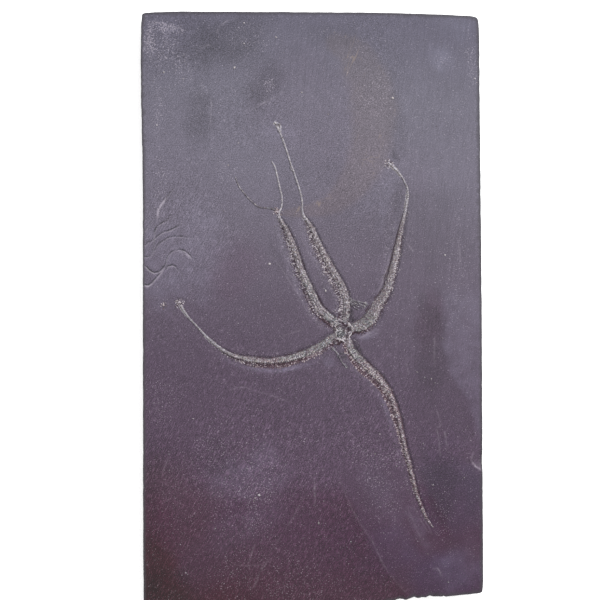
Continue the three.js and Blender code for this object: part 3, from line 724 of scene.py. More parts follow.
def slab_piece():
    """The slab: its worked face, its split sides and its underside, as one closed mesh."""
    loop, outward = slab_loop()
    count = len(loop)
    top_loop = loop - outward * EDGE_BEVEL
    top, faces = triangulate(top_loop, face_points(top_loop))
    rings = side_rings(loop, outward)

    under_loop = rings[-1][:, :2]
    under_grid = jittered_grid(UNDER_STEP, seed=9)
    under_grid = under_grid[inside_loop(under_grid, under_loop * UNDER_SHRINK)]
    under, under_faces = triangulate(under_loop, under_grid)
    hollow = 0.14 * smooth(layered(under, 14, 71), -0.1, 0.25) + 0.03 * (1 + bumps(under, 2.5, 72))
    under_points = np.column_stack([under, UNDERSIDE + hollow])[count:]
    points = chipped(np.vstack([np.column_stack([top, ground(top)]), *rings, under_points]))

    starts = [0] + [len(top) + i * count for i in range(len(rings))]
    for upper, lower in zip(starts, starts[1:]):
        for i in range(count):
            j = (i + 1) % count
            faces.append((upper + i, lower + i, lower + j, upper + j))
    faces += [tuple(starts[-1] + i for i in reversed(face)) for face in under_faces]
    return make_piece("slate_slab", points, faces, ["slab"], slab_marks(points, len(top), count))


slab = slab_piece()

# ---------------------------------------------------------------- fossil: grains and crests

SKIRT = 0.12  # how far a piece's edge runs under the ground
BURIED = 0.9  # how far the underside of a fossil piece lies below the face
FOSSIL_MARKS = ("tone", "bed", "brown", "green", "whip")

# Chains of plates that frame the mouth, and run from it onto the arms
CHAINS = [
    [(6.9, -1.7, 1.1), (7.8, -2.6, 1.1), (8.9, -3.9, 0.8), (9.1, -5.1, 0.5), (8.7, -6.9, 0.8)],
    [(8.2, -1.5, 0.9), (8.9, -1, 0.9), (10, -0.85, 1.1), (10.9, -0.6, 0.9)],
    [(12.9, 5.7, 0.5), (13.6, 3.9, 0.7), (14, 1.9, 0.9), (13.2, 0.3, 1), (12.2, -0.5, 0.8),
     (12.7, -1.5, 0.8), (14, -2.8, 0.9), (14.7, -3.7, 1), (14.5, -4.8, 0.9), (14, -5.9, 0.9),
     (13.4, -6.9, 1), (13.6, -8.4, 0.7), (13.2, -10.2, 0.6)],
    [(9.4, -7.6, 1.2), (10.7, -7.9, 1.2), (11.8, -8.7, 1.2), (12.7, -9.8, 0.8)],
    [(2.9, 3.3, 0.4), (4.7, 2.7, 0.5), (6.2, 1.7, 0.5), (7.7, 0.6, 0.5), (9.1, 0, 0.4)],
    [(8, 0.9, 0.4), (8.7, 1.5, 0.5), (10, 2.8, 0.5), (10.3, 3.8, 0.3)],
    [(7.4, -9.8, 0.4), (8.7, -9.2, 0.5), (9.9, -8.9, 0.4)],
    [(11.2, -9.5, 0.6), (12.1, -10.9, 0.6), (12.7, -12.1, 0.5), (13.4, -13.4, 0.4)],
    [(15.1, -2.1, 0.5), (16.5, -1.3, 0.6), (17.3, -1.5, 0.4)],
]
CHAIN_LINES = Lines(CHAINS, 0.1)
CHAIN_HALF = 0.23

# Dark pits between the plates round the mouth, as (x, y, radius)
DARK_SPOTS = [
    (9.1, -8.3, 0.7), (10.2, -9.9, 0.6), (7.6, -9.6, 0.5), (9.2, -10.4, 0.5), (5.3, -3.2, 0.6),
    (4.7, -1.6, 0.6), (15.8, -4.8, 0.5), (17.9, -4.6, 0.5), (20.2, -3.7, 0.5), (13.3, 1.9, 0.45),
    (12.2, 2.6, 0.4), (9.5, 0, 0.6), (11.8, 0.8, 0.6), (11.2, -2.1, 0.9), (12.7, -1.5, 0.6),
    (14.9, -5.7, 0.6), (17, -5.6, 0.7), (18.9, -5.1, 0.7), (10.9, -8.7, 0.8), (9.5, -9.3, 0.7),
    (11.2, -13.2, 0.7), (14.9, -7.7, 0.5), (5.9, -2.2, 0.9), (4, -0.6, 0.7), (13.1, -3.9, 0.6),
    (12.5, -2.9, 0.6),
]


def dark_spots(flat):
    """How deep in a pit each point lies, from 0 to 1."""
    wander = 0.5 + 0.5 * bumps(flat, 0.9, 305)
    total = np.zeros(len(flat))
    for x, y, radius in DARK_SPOTS:
        reach = np.hypot(flat[:, 0] - x, flat[:, 1] - y) / (radius * (0.6 + wander))
        total = np.maximum(total, 1 - smooth(reach, 0.3, 1.1))
    return total


def crests(flat):
    """How high the chains of plates stand at each point, from 0 to 1."""
    row, distance = CHAIN_LINES.nearest(flat)
    half = CHAIN_HALF * (1 + 0.35 * bumps(flat, 0.9, 301))
    worn = smooth(bumps(flat, 1.2, 303), -0.7, 0.3)
    plated = 0.8 + 0.5 * bumps(flat, 0.5, 307)
    dome = np.clip(1 - (distance / half) ** 2, 0, 1) ** 0.45
    return dome * (0.35 + 0.65 * worn) * plated * row[:, 2]


class Field:
    """Heights over a patch of ground, on which plates, spines and grains are pressed."""

    def __init__(self, along, aside):
        """Start level, over points with the given places along and aside."""
        self.along, self.aside = along, aside
        self.lift, self.cover, self.tone = (np.zeros(aside.shape) for _ in range(3))

    def window(self, spot, reach):
        """The part of the field near a spot."""
        if self.along.shape != self.aside.shape:
            rows = np.flatnonzero(np.abs(self.along[:, 0] - spot[0]) < reach)
            return slice(rows[0], rows[-1] + 1) if len(rows) else slice(0, 0)
        return (np.abs(self.along - spot[0]) < reach) & (np.abs(self.aside - spot[1]) < reach)

    def press(self, spot, radii, turn, height, tone):
        """Raise a grain at a spot, with its length turned from the way along, and its tone."""
        window = self.window(spot, max(radii))
        ahead = self.along[window] - spot[0]
        beside = self.aside[window] - spot[1]
        cos, sin = math.cos(turn), math.sin(turn)
        p = (ahead * cos + beside * sin) / radii[0]
        q = (beside * cos - ahead * sin) / radii[1]
        dome = np.sqrt(np.clip(1 - p * p - q * q, 0, 1))
        higher = height * dome > self.lift[window]
        self.lift[window] = np.where(higher, height * dome, self.lift[window])
        self.tone[window] = np.where(higher, tone, self.tone[window])
        self.cover[window] = np.where(higher, smooth(dome, 0.0, 0.5), self.cover[window])

    def drop(self, rng, spot, longs, wides, turns, heights, tone):
        """Press a grain whose size, turn and height are drawn from (low, high) ranges."""
        radii = (rng.uniform(*longs), rng.uniform(*wides))
        turn, tall = rng.uniform(*turns), rng.uniform(*heights)
        self.press(spot, radii, turn, tall, grain_tone(rng, *tone))

    def scatter(self, rng, count, spots, sizes, heights, tones):
        """Press grains at random inside ranges given as (low, high) pairs."""
        for _ in range(count):
            spot = (rng.uniform(*spots[0]), rng.uniform(*spots[1]))
            radii = (rng.uniform(*sizes), 0.75 * rng.uniform(*sizes))
            turn = rng.uniform(0, math.pi)
            height = rng.uniform(*heights)
            self.press(spot, radii, turn, height, rng.uniform(*tones))


def grain_tone(rng, usual, spread, bright):
    """A tone near the usual one, with the given chance of a bright grain."""
    if rng.random() < bright:
        return rng.uniform(0.95, 1.2)
    return rng.normal(usual, spread)


def toned(base, field):
    """The tone of the surface with its grains on it."""
    return base + (field.tone - base) * field.cover


# ---------------------------------------------------------------- arms

ARM_STEP = 0.11
ARM_COLUMNS = np.linspace(-1.45, 1.8, 66)  # across an arm, in half widths
JOINT_PER_WIDTH = 0.28  # length of an arm's joints, for each millimetre of its width
JOINT_LIMITS = (0.85, 1.05)
WHIP_WIDTH = 0.7  # drawn width of the thin end of an arm
STRAND_WIDTH = 0.4  # least drawn width of a strand
SPINE_WIDTH = 0.3  # least drawn width of a loose spine
THIN_TO_THICK = (0.4, 1.05)  # half widths between which a plain thin end gets a ridge and a bed
THIN_REACH = 0.9  # how far across a thin end its ridge reaches, in half widths
ROOT_RUN = 1.7  # how far an arm runs on into the disc
ROOT_WIDTH = 0.65  # how wide it is there, for each unit of its first width
GRAIN_SIZE, GRAIN_RELIEF = 0.36, 0.06
GRAIN_TONE = 0.6  # how far the grain lightens and darkens the fossil
PALE_BED = 0.2  # how much brighter a pale bed is
LIGHT_RIDGE = 0.14  # how much brighter a pale ridge is
DARK_RIM = 0.4  # how much darker the rim of a bed is
LADDER_PER_JOINT = 1.35  # cross lines in the bed for each joint of the arm
PIT_SHADE = 0.4  # how much darker the deepest pits of the bed are painted, as shade between the grains
BEAD_TONE = 0.3  # how bright the row of beads beside the bed is
RIDGE_TONE, ROW_TONE = 0.36, 0.1  # tone of a plain ridge, and what a row of plates adds to it
BED_SHADE, EDGE_PAINTED_SHADE = 0.06, 0.13  # how much darker the bed is, and the ridge's outer edge, where the darkening is painted shade
CREST_TONE, SPOT_SHADE = 0.45, 0.45  # the same for the chains and the pits round the mouth
SHADOW_STRIP_TONE = 0.2  # tone of the strip of painted shade along a ridge
RISE, RISE_PER_WIDTH = 0.15, 0.035  # height of a ridge over the face
RIDGE_FOOT = 0.08  # how far a ridge's sides start under the face
BED_HEIGHT, BED_FALL = 0.1, 0.3  # height of a bed, and how far its outer edge falls
WORN_RELIEF = 0.025  # height of the wear on an arm

# How each arm is preserved. Places across it are in half widths, and stretches along it are
# (start, end, strength) in millimetres from the disc.
# - "side": which side its spines lie on, looking from the disc. 1 is left and -1 is right.
# - "ridge" and "bed": where its ridge and its bed of spines start and end across it.
# - "rows": its rows of plates, as (place across, height).
# - "brown", "green", "pale" and "light": stretches where it is red-brown, where it is grey, where
#   the bed is pale and where the ridge is pale.
# - "rim", "gap" and "beads": the dark rim of its bed, a thin dark strip of painted shade along its
#   ridge and rows of bright beads, as (place across, stretches).
# - "lined": how far fine lines run along the ridge, rather than bars across it.
# - "pits": how deeply the bed is pitted, and how much painted shade its pits get. "calm": how smooth the
#   outer half of the ridge is.
# - "loose": how often loose bits lie beside it.
# - "thin" and "knots": the tone of its thin end, and how beaded that end is.
LOOKS = {
    "arm_upper_left": {
        "side": 1, "ridge": (-0.99, 0.46), "bed": (0.25, 1.15),
        "rows": ((-0.75, 0.8), (-0.25, 1.0), (0.12, 0.8)),
        "brown": ((0, 7, 1.0), (7, 16, 0.3)), "green": ((0, 6, 0.8), (13, 22, 0.5)),
        "pale": ((0, 45, 1.0),), "light": ((0, 20, -0.5),), "rim": (0.93, ((1, 22, 1.2),)),
        "lined": 1.0, "pits": 1.0, "calm": 0.1, "beads": ((-0.3, ((12, 50, 0.4),)),),
        "gap": (-1.14, ((6, 40, 0.4),)), "loose": 1.0, "thin": 0.64, "knots": 0.1,
    },
    "arm_upper_middle": {
        "side": 1, "ridge": (-1.02, 0.3), "bed": (0.2, 1.3),
        "rows": ((-0.8, 0.7), (-0.35, 1.1), (0.05, 0.8)),
        "brown": ((12, 30, 0.15),), "green": ((0, 5, 0.5),),
        "pale": ((0, 45, 1.0),), "light": (), "rim": (0.9, ()),
        "lined": 0.6, "pits": 1.1, "calm": 0.0, "beads": ((-0.45, ((10, 50, 0.2),)),),
        "gap": (-1.1, ()), "loose": 1.1, "thin": 0.66, "knots": 0.1,
    },
    "arm_right": {
        "side": -1, "ridge": (-0.85, 0.76), "bed": (0.45, 1.1),
        "rows": ((-0.6, 0.5), (-0.2, 0.4), (0.22, 1.1), (0.55, 0.8)),
        "brown": ((0, 8, 1.0), (8, 16, 0.3)), "green": ((0, 10, 0.7),),
        "pale": ((3, 12, 1.0),), "light": ((0, 14, -0.5),), "rim": (0.95, ((0, 60, 0.8),)),
        "lined": 0.6, "pits": 1.0, "calm": 0.3,
        "beads": ((0.25, ((14, 70, 0.5),)), (0.5, ((14, 70, 0.3),))),
        "gap": (-1.0, ((6, 20, 0.45), (20, 62, 0.6))), "loose": 0.3, "thin": 0.5, "knots": 0.15,
    },
    "arm_left": {
        "side": 1, "ridge": (-0.92, 0.42), "bed": (0.35, 1.08),
        "rows": ((-0.55, 0.6), (-0.15, 0.8), (0.1, 0.9)),
        "brown": ((0, 8, 0.8), (8, 31, 1.5), (31, 40, 0.6)), "green": ((0, 22, 0.7),),
        "pale": ((0, 13, 1.2),), "light": ((0, 14, -1.0), (15, 42, 1.0)),
        "rim": (0.72, ((0, 12, 0.5), (12, 42, 0.6))),
        "lined": 0.3, "pits": 0.45, "calm": 0.2, "beads": ((0.0, ((5, 14, 0.1), (14, 38, 1.4))),),
        "gap": (-1.05, ((13, 22, 0.6),)), "loose": 0.5, "thin": 0.56, "knots": 0.1,
    },
    "arm_lower": {
        "side": -1, "ridge": (-0.94, 0.44), "bed": (0.3, 0.95),
        "rows": ((-0.5, 0.7), (-0.15, 1.1), (0.15, 1.0)),
        "brown": ((2, 17, 1.5), (17, 99, 2.2)), "green": ((3, 10, 0.9),),
        "pale": ((0, 20, 1.1), (20, 75, 0.8)), "light": ((0, 14, -0.9), (15, 50, 0.8)),
        "rim": (0.98, ((0, 22, 0.8),)), "lined": 0.25, "pits": 0.2, "calm": 0.1,
        "beads": ((0.05, ((4, 18, 1.0),)), (-0.35, ((16, 75, 1.0),))),
        "gap": (-1.08, ((10, 16, 0.4), (30, 80, 0.4))), "loose": 0.2, "thin": 0.42, "knots": 0.35,
    },
}


def tube_faces(rings, corners):
    """Faces over closed rings of points, with a cap on each end."""
    faces = []
    for i in range(rings - 1):
        a, b = i * corners, (i + 1) * corners
        for j in range(corners):
            k = (j + 1) % corners
            faces.append((a + j, b + j, b + k, a + k))
    faces.append(tuple(range(corners)))
    faces.append(tuple(reversed(range((rings - 1) * corners, rings * corners))))
    return faces


def press_plates(field, rng, look, place, h, gap, big):
    """Press the small plates of one joint along the ridge: rows of them, and some at random."""
    for count, (centre, strength) in enumerate(look["rows"]):
        by_bed = count == len(look["rows"]) - 1
        for share in (-0.25, 0.25):
            spot = (place + (share + rng.normal(0, 0.06)) * gap, (centre + rng.normal(0, 0.05)) * h)
            long = 0.27 * gap * rng.uniform(0.7, 1.2)
            wide = (0.12 + 0.08 * h * strength) * rng.uniform(0.75, 1.2)
            tall = big * strength * rng.uniform(0.08, 0.2)
            turn = rng.normal(0, 0.2)
            tone = grain_tone(rng, 0.4 + 0.18 * strength, 0.1, 0.12 if by_bed else 0.03)
            field.press(spot, (long, wide), turn, tall, tone)
    low, high = look["ridge"]
    for _ in range(round((3 - 2 * look["calm"]) * smooth(h, 0.7, 1.7)) + 1):
        spot = (place + rng.uniform(-0.5, 0.5) * gap, rng.uniform(low + 0.08, high + 0.1) * h)
        heights = (0.08 * big, 0.2 * big)
        field.drop(rng, spot, (0.17, 0.34), (0.14, 0.24), (0, 3), heights, (0.45, 0.15, 0.06))


def press_spines(field, rng, look, place, h, gap, big):
    """Press the spine of one joint and the broken bits beside it into the bed along the ridge."""
    start, end = look["bed"]
    for share in (0.0, 0.5):
        middle = start + (share + rng.uniform(0.0, 0.4)) * (end - start)
        spot = (place + (share - 0.25 + rng.normal(0, 0.07)) * gap, middle * h)
        lean = math.radians(rng.normal(80, 14))
        radii = (rng.uniform(0.16, 0.3) * h * (end - start), rng.uniform(0.13, 0.17))
        tall = big * rng.uniform(0.1, 0.2)
        field.press(spot, radii, lean, tall, grain_tone(rng, 0.45 + 0.12 * look["pits"], 0.15, 0.08))
    for _ in range(round(3 * big) + 1):
        spot = (place + rng.uniform(-0.5, 0.5) * gap, rng.uniform(start, end + 0.1) * h)
        radii = (rng.uniform(0.13, 0.24), rng.uniform(0.11, 0.17))
        tall = big * rng.uniform(0.06, 0.22)
        field.press(spot, radii, rng.uniform(0.2, 2.4), tall, grain_tone(rng, 0.42, 0.18, 0.12))


def press_loose(field, rng, look, place, h, big):
    """Press loose bits on the ground just outside an arm."""
    for low, high, chance in ((look["bed"][1], 1.75, 1.0), (-1.4, -1.1, 0.3)):
        for _ in range(3):
            if rng.random() < 0.6 * chance * big * look["loose"]:
                spot = (place + rng.uniform(-0.7, 0.7), rng.uniform(low, high) * h)
                heights, tone = (0.14, 0.24), (0.45, 0.15, 0.12)
                field.drop(rng, spot, (0.14, 0.28), (0.12, 0.2), (0, 3), heights, tone)


def stretch_strength(reached, parts):
    """How strong a look is along an arm, from its (start, end, strength) parts."""
    total = np.zeros_like(reached)
    for begin, finish, strength in parts:
        inside = smooth(reached, begin - 2, begin + 2) * (1 - smooth(reached, finish - 2, finish + 2))
        total = np.maximum(total, strength * inside)
    return total


def rooted(route):
    """The route carried on into the disc, where the arm narrows."""
    first, second = np.array(route[0]), np.array(route[1])
    ahead = (first - second)[:2] / np.linalg.norm((first - second)[:2])
    root = (*(first[:2] + ROOT_RUN * ahead), ROOT_WIDTH * first[2])
    return [root, *route]


class Arm:
    """One arm over a grid along and across it: a ridge of plates beside a bed of spines."""

    def __init__(self, route, look, seed, least):
        """Lay the grid along the route. The width drawn is at least the given one."""
        rows = curve_through(route, ARM_STEP)
        centre = rows[:, :2]
        along = np.gradient(centre, axis=0)
        along /= np.linalg.norm(along, axis=1)[:, None]
        across = np.column_stack([-along[:, 1], along[:, 0]]) * look["side"]
        self.look, self.seed = look, seed
        self.width = np.maximum(rows[:, 2:], least)
        self.half = self.width / 2
        self.thick = smooth(self.half, *THIN_TO_THICK)
        self.reached = np.arange(len(rows))[:, None] * ARM_STEP
        self.aside = ARM_COLUMNS[None, :] * (self.half + 0.12)
        self.u = self.aside / self.half  # place across the arm, in half widths
        self.spots = centre[:, None, :] + across[:, None, :] * self.aside[:, :, None]
        self.floor = self.spread(ground)
        self.crest, self.dark = self.spread(crests), self.spread(dark_spots)
        self.worn = self.spread(layered, 1.3, seed + 3)
        self.fine = self.spread(bumps, 0.6, seed + 7)
        self.joint_length = np.clip(JOINT_PER_WIDTH * self.width[:, 0], *JOINT_LIMITS)
        self.joint_count = np.cumsum(ARM_STEP / self.joint_length)
        self.specks = self.woven(GRAIN_SIZE, GRAIN_SIZE, 11)
        lines = LADDER_PER_JOINT * self.joint_count[:, None] + 0.3 * self.u + 0.3 * self.worn
        self.ladder = np.cos(2 * math.pi * lines)
        self.place_ridge()

    def place_ridge(self):
        """Work out which points are on the ridge, at its outer edge, in the bed and in the strip of
        painted shade beside the ridge.
        """
        start, end = self.look["ridge"]
        thick, u = self.thick, self.u
        first = start * thick - THIN_REACH * (1 - thick)
        self.last = end * thick + THIN_REACH * (1 - thick)
        self.middle = (first + self.last) / 2
        self.bow = np.abs((u - self.middle + 0.08 * self.worn) / ((self.last - first) / 2))
        self.in_bed = smooth(u, self.last - 0.25, self.last + 0.15) * thick
        outward = smooth(self.bow, 0.75, 1.0) + smooth(self.bow, 0.9, 1.0)
        self.outer_edge = outward * (u < self.middle)
        place, parts = self.look["gap"]
        shadow_strip = 1 - smooth(np.abs(u - place + 0.03 * self.worn), 0.07, 0.16)
        shadow_strip = shadow_strip * stretch_strength(self.reached, parts)
        shadow_strip = shadow_strip * np.clip(1 + 0.8 * self.spread(bumps, 1.4, self.seed + 37), 0, 1.6)
        self.shadow_strip = shadow_strip * thick * (u < start + 0.08)
        self.in_shadow_strip = smooth(self.shadow_strip, 0.1, 0.5)

    def spread(self, function, *options):
        """What a function of flat points gives at each point of the grid."""
        return function(self.spots.reshape(-1, 2), *options).reshape(self.aside.shape)

    def stretch(self, label):
        """How strong one of the arm's looks is along it."""
        return stretch_strength(self.reached, self.look[label])

    def woven(self, long, wide, seed):
        """Noise from -1 to 1, with features of the given length along the arm and width across."""
        along = np.broadcast_to(self.reached, self.aside.shape)
        spots = np.column_stack([along.reshape(-1) / long, self.aside.reshape(-1) / wide])
        seed = self.seed + seed
        drift = np.column_stack([bumps(spots, 2.3, seed + 1), bumps(spots, 2.3, seed + 2)])
        return bumps(spots + 0.5 * drift, 1.0, seed).reshape(along.shape)

    def press_joints(self, field, rng):
        """Press all the plates, spines and bits of the arm into its field, joint by joint."""
        look, reached = self.look, self.reached[:, 0]
        for place in np.interp(np.arange(0.3, self.joint_count[-1]), self.joint_count, reached):
            row = min(len(reached) - 1, round(place / ARM_STEP))
            h, gap = self.half[row, 0], self.joint_length[row]
            big = float(smooth(h, 0.35, 1.05))
            if big > 0.03:
                press_plates(field, rng, look, place, h, gap, big)
                press_spines(field, rng, look, place, h, gap, big)
                press_loose(field, rng, look, place, h, big)
            else:
                spot = (place + rng.uniform(-0.4, 0.4), rng.normal(0, 0.1))
                radii = (rng.uniform(0.2, 0.6), 0.2)
                field.press(spot, radii, 0, 0.05, grain_tone(rng, 0.55, 0.12, 0.08))

    def roughness(self):
        """The grain, from about -1 to 1: lines and bars on the ridge, and spines in the bed."""
        look, specks = self.look, self.specks
        strips = self.woven(3.5, 0.3, 31) * smooth(-self.u, -0.2, 0.4)
        bars = 0.5 * self.ladder + 0.5 * self.woven(GRAIN_SIZE, 0.9, 29)
        plates = 0.65 * specks + 0.12 * self.woven(0.6, 0.45, 17)
        plates = plates + 0.35 * (look["lined"] * strips + (1 - look["lined"]) * bars)
        plates = plates * (0.7 + 0.3 * smooth(self.half, 1.3, 1.8))
        plates = plates * (1 - look["calm"] * smooth(-self.u, -0.3, 0.2))
        spines = 0.6 * specks + 0.35 * self.woven(GRAIN_SIZE, 0.9, 23) + 0.3 * self.ladder
        # Painted shade in the pits between the spines
        spines = spines - look["pits"] * PIT_SHADE * smooth(-specks, 0.35, 0.7)
        spines = spines + 0.3 * smooth(specks, 0.45, 0.8)
        return (plates + (spines - plates) * self.in_bed) * (0.3 + 0.7 * self.thick)

    def heights(self, field, rough):
        """How high each point of the arm is, with its ends under the ground."""
        floor, thick, sunk = self.floor, self.thick, self.floor - SKIRT
        start = 0.3 + 0.7 * smooth(self.reached, 0.0, 1.8)
        end = smooth(self.reached[-1] - self.reached, 0.0, 0.6)
        rise = (RISE + RISE_PER_WIDTH * self.width) * start * end
        deep = 0.1 + 0.25 * thick
        dome = np.clip(1 - self.bow**2.4, 0, 1) ** 0.6
        ridge = FACE - RIDGE_FOOT - deep + (rise + RIDGE_FOOT + deep) * dome

        # The bed of the spines thins out raggedly
        bed_end = self.look["bed"][1]
        outer = self.u + 0.25 * self.worn + 0.2 * self.fine
        bed = floor + BED_HEIGHT - BED_FALL * smooth(outer, bed_end - 0.4, bed_end + 0.1)
        bed = np.where(self.u > self.middle, bed, sunk)
        bed = sunk + (bed - sunk) * thick
        # The strip of painted shade is lifted just over the ground, so that it shows
        body = np.maximum.reduce([ridge, bed, sunk + (SKIRT + 0.03) * self.in_shadow_strip])

        shown = smooth(body - floor, -0.05, 0.1)
        relief = WORN_RELIEF * (self.worn + self.fine) + GRAIN_RELIEF * rough
        body = body + relief * shown * (0.3 + 0.7 * thick)
        height = np.maximum(body, sunk) + field.lift + 0.2 * self.crest
        height[0], height[-1] = sunk[0], sunk[-1]
        return height

    def tones(self, field, rough):
        """How bright each point of the arm is."""
        look, u, thick, in_bed = self.look, self.u, self.thick, self.in_bed
        rows = sum(strength**2 * band(u, spot, 0.2) for spot, strength in look["rows"])
        base = RIDGE_TONE - BED_SHADE * in_bed + ROW_TONE * rows * (1 - in_bed)
        # Painted shade darkens the ridge's outer edge
        base = base - EDGE_PAINTED_SHADE * self.outer_edge
        base = base + LIGHT_RIDGE * self.stretch("light") * (1 - in_bed)
        base = base * thick + look["thin"] * (1 - thick)
        seam = band(u, self.last - 0.05, 0.2) * thick
        base = base + PALE_BED * self.stretch("pale") * (in_bed + 0.5 * seam)
        tone = toned(base + 0.03 * self.worn + 0.05 * self.fine, field)
        tone = tone + CREST_TONE * self.crest + GRAIN_TONE * rough
        beads = sum(
            band(u, spot, 0.15) * stretch_strength(self.reached, parts) for spot, parts in look["beads"]
        )
        tone = tone + BEAD_TONE * beads * (0.5 + 0.7 * self.ladder) * thick
        tone = tone + look["knots"] * (0.5 * self.ladder + self.specks) * (1 - thick)
        place, parts = look["rim"]
        rim = band(u + 0.08 * self.worn, place, 0.13) * stretch_strength(self.reached, parts)
        tone = tone - SPOT_SHADE * self.dark - DARK_RIM * rim
        # The strip beside the ridge is painted dark, as shade
        return tone + (SHADOW_STRIP_TONE - 0.25 * self.shadow_strip + 0.2 * rough - tone) * self.in_shadow_strip

    def marks(self, field, rough):
        """What the fossil material needs to know at each point of the arm."""
        brown, streaky = self.stretch("brown"), 0.75 + 0.6 * self.worn
        whip = (1 - self.thick) * (1 - np.clip(brown, 0, 1))
        return {
            "tone": self.tones(field, rough),
            # The ridge's outer edge and the strip of painted shade take on the bed's darker colours
            "bed": np.maximum(self.in_bed + 0.17 * self.outer_edge * self.thick, self.in_shadow_strip),
            "brown": brown * streaky + self.dark,
            "green": self.stretch("green") * streaky,
            "whip": np.broadcast_to(whip, self.aside.shape),
        }


def arm_shape(route, look, seed, least=WHIP_WIDTH):
    """Points, faces and marks of one arm, closed by a strip under it."""
    arm = Arm(route, look, seed, least)
    field = Field(arm.reached, arm.aside)
    arm.press_joints(field, np.random.default_rng(seed))
    rough = arm.roughness()
    points = np.dstack([arm.spots, arm.heights(field, rough)])
    under = points[:, [-1, 0]].copy()
    under[:, :, 2] = FACE - BURIED
    points = np.concatenate([points, under], axis=1)
    tail = np.zeros(under.shape[:2])
    marks = {
        label: np.concatenate([part, tail], axis=1).reshape(-1)
        for label, part in arm.marks(field, rough).items()
    }
    faces = tube_faces(*points.shape[:2])
    if look["side"] < 0:
        faces = [tuple(reversed(face)) for face in faces]
    return points.reshape(-1, 3), faces, marks


# ---------------------------------------------------------------- round patches

def patch(centre, reach, rings, spokes, shape):
    """A round patch of fossil, whose heights and marks shape() gives from its flat points."""
    radius = np.linspace(0, reach, rings + 1)[1:, None]
    turn = np.linspace(0, 2 * math.pi, spokes, endpoint=False)[None, :]
    ring_x = centre[0] + radius * np.cos(turn)
    ring_y = centre[1] + radius * np.sin(turn)
    flat = np.vstack([[centre], np.column_stack([ring_x.reshape(-1), ring_y.reshape(-1)])])
    floor = ground(flat)
    body, marks = shape(flat)
    height = np.maximum(body, floor - SKIRT)
    height[-spokes:] = floor[-spokes:] - SKIRT
    points = np.column_stack([flat, height])
    rim = points[-spokes:].copy()
    rim[:, 2] = FACE - BURIED
    faces = []
    for j in range(spokes):
        k = (j + 1) % spokes
        faces.append((0, 1 + j, 1 + k))
        for i in range(rings):
            a, b = 1 + i * spokes, 1 + (i + 1) * spokes
            faces.append((a + j, b + j, b + k, a + k))
    points = np.vstack([points, rim])
    faces.append(tuple(reversed(range(len(points) - spokes, len(points)))))
    pad = np.zeros(spokes)
    return points, faces, {label: np.concatenate([part, pad]) for label, part in marks.items()}


# Clusters of broken plates at the ends of the arms: arm, middle, reach, grains, share of brown
CLUSTERS = [
    ("arm_upper_left", (-12.0, 37.4), 2.2, 60, 1.0),
    ("arm_right", (27.5, 54.5), 2.2, 60, 0.1),
    ("arm_left", (-46.6, 4.9), 2.3, 60, 0.2),
    ("arm_left", (-52.3, 4.3), 1.6, 20, 0.8),
]


def even_marks(count, **known):
    """Marks for the fossil material at a number of points. Those that aren't known are 0."""
    return {label: np.broadcast_to(known.get(label, 0.0), count) for label in FOSSIL_MARKS}


def cluster(centre, reach, count, brown, seed):
    """A small heap of broken plates."""
    rng = np.random.default_rng(seed)

    def shape(flat):
        """Heights and marks of the heap."""
        field = Field(flat[:, 0], flat[:, 1])
        for _ in range(count):
            away, way = 0.8 * reach * rng.random() ** 0.8, rng.uniform(0, 2 * math.pi)
            spot = (centre[0] + away * math.cos(way), centre[1] + away * math.sin(way))
            heights, tone = (0.16, 0.4), (0.6, 0.25, 0.4)
            field.drop(rng, spot, (0.18, 0.42), (0.14, 0.25), (0, math.pi), heights, tone)
        near = 1 - smooth(distance_from(centre, flat) / reach, 0.1, 0.6)
        body = ground(flat) - SKIRT + 0.14 * near * (1 + bumps(flat, 0.8, seed)) + field.lift
        base = 0.1 + 0.3 * bumps(flat, 0.9, seed + 1) + 0.5 * bumps(flat, GRAIN_SIZE, seed + 2)
        return body, even_marks(len(flat), tone=toned(base, field), bed=0.7, brown=brown)

    return patch(centre, reach, rings=22, spokes=84, shape=shape)


def arm_piece(number, name):
    """One arm with its strands and its clusters, as one piece."""
    look = LOOKS[name]
    shell = Shell()
    points, faces, marks = arm_shape(rooted(ARMS[name]), look, 100 + 10 * number)
    shell.add(points, faces, marks)
    for count, strand in enumerate(STRANDS.get(name, [])):
        points, faces, marks = arm_shape(strand, look, 150 + 10 * number + count, STRAND_WIDTH)
        marks["tone"] = marks["tone"] - 0.15 + 0.3 * bumps(points, 0.9, 850 + count)
        shell.add(points, faces, marks)
    for count, (owner, middle, reach, grains, brown) in enumerate(CLUSTERS):
        if owner == name:
            points, faces, marks = cluster(middle, reach, grains, brown, 400 + count)
            shell.add(points, faces, marks)
    return shell.make(f"star_{name}", [name])


fossil_pieces = [arm_piece(number, name) for number, name in enumerate(ARMS)]

# ---------------------------------------------------------------- disc

DISC_REACH = 5.4  # radius of the patch that the disc is drawn on
HOLLOW = ((11.8, -4.3), (2.2, 2.4))  # middle and radii of the mouth
WEB = ((8.4, -9.2), (2.8, 2.0))  # torn skin between the two lower arms
GREY_PATCHES = [((10.3, -5.6), (2.4, 2.6)), ((8.9, -1.9), (1.6, 1.6)), ((16.4, -1.8), (1.8, 1.4))]
BROWN_PATCHES = [((10.6, -9.4), (2.0, 1.6)), ((6.4, -3.0), (1.7, 1.4)), ((16.2, -5.2), (1.6, 1.4))]
# Grains on the disc, as count, reach, and the ranges of their sizes, heights and tones: many dull
# ones and a few bright ones
DISC_GRAINS = (
    (260, 4.6, (0.15, 0.34), (0.05, 0.22), (0.1, 0.65)),
    (16, 4.2, (0.14, 0.24), (0.15, 0.25), (0.95, 1.2)),
)


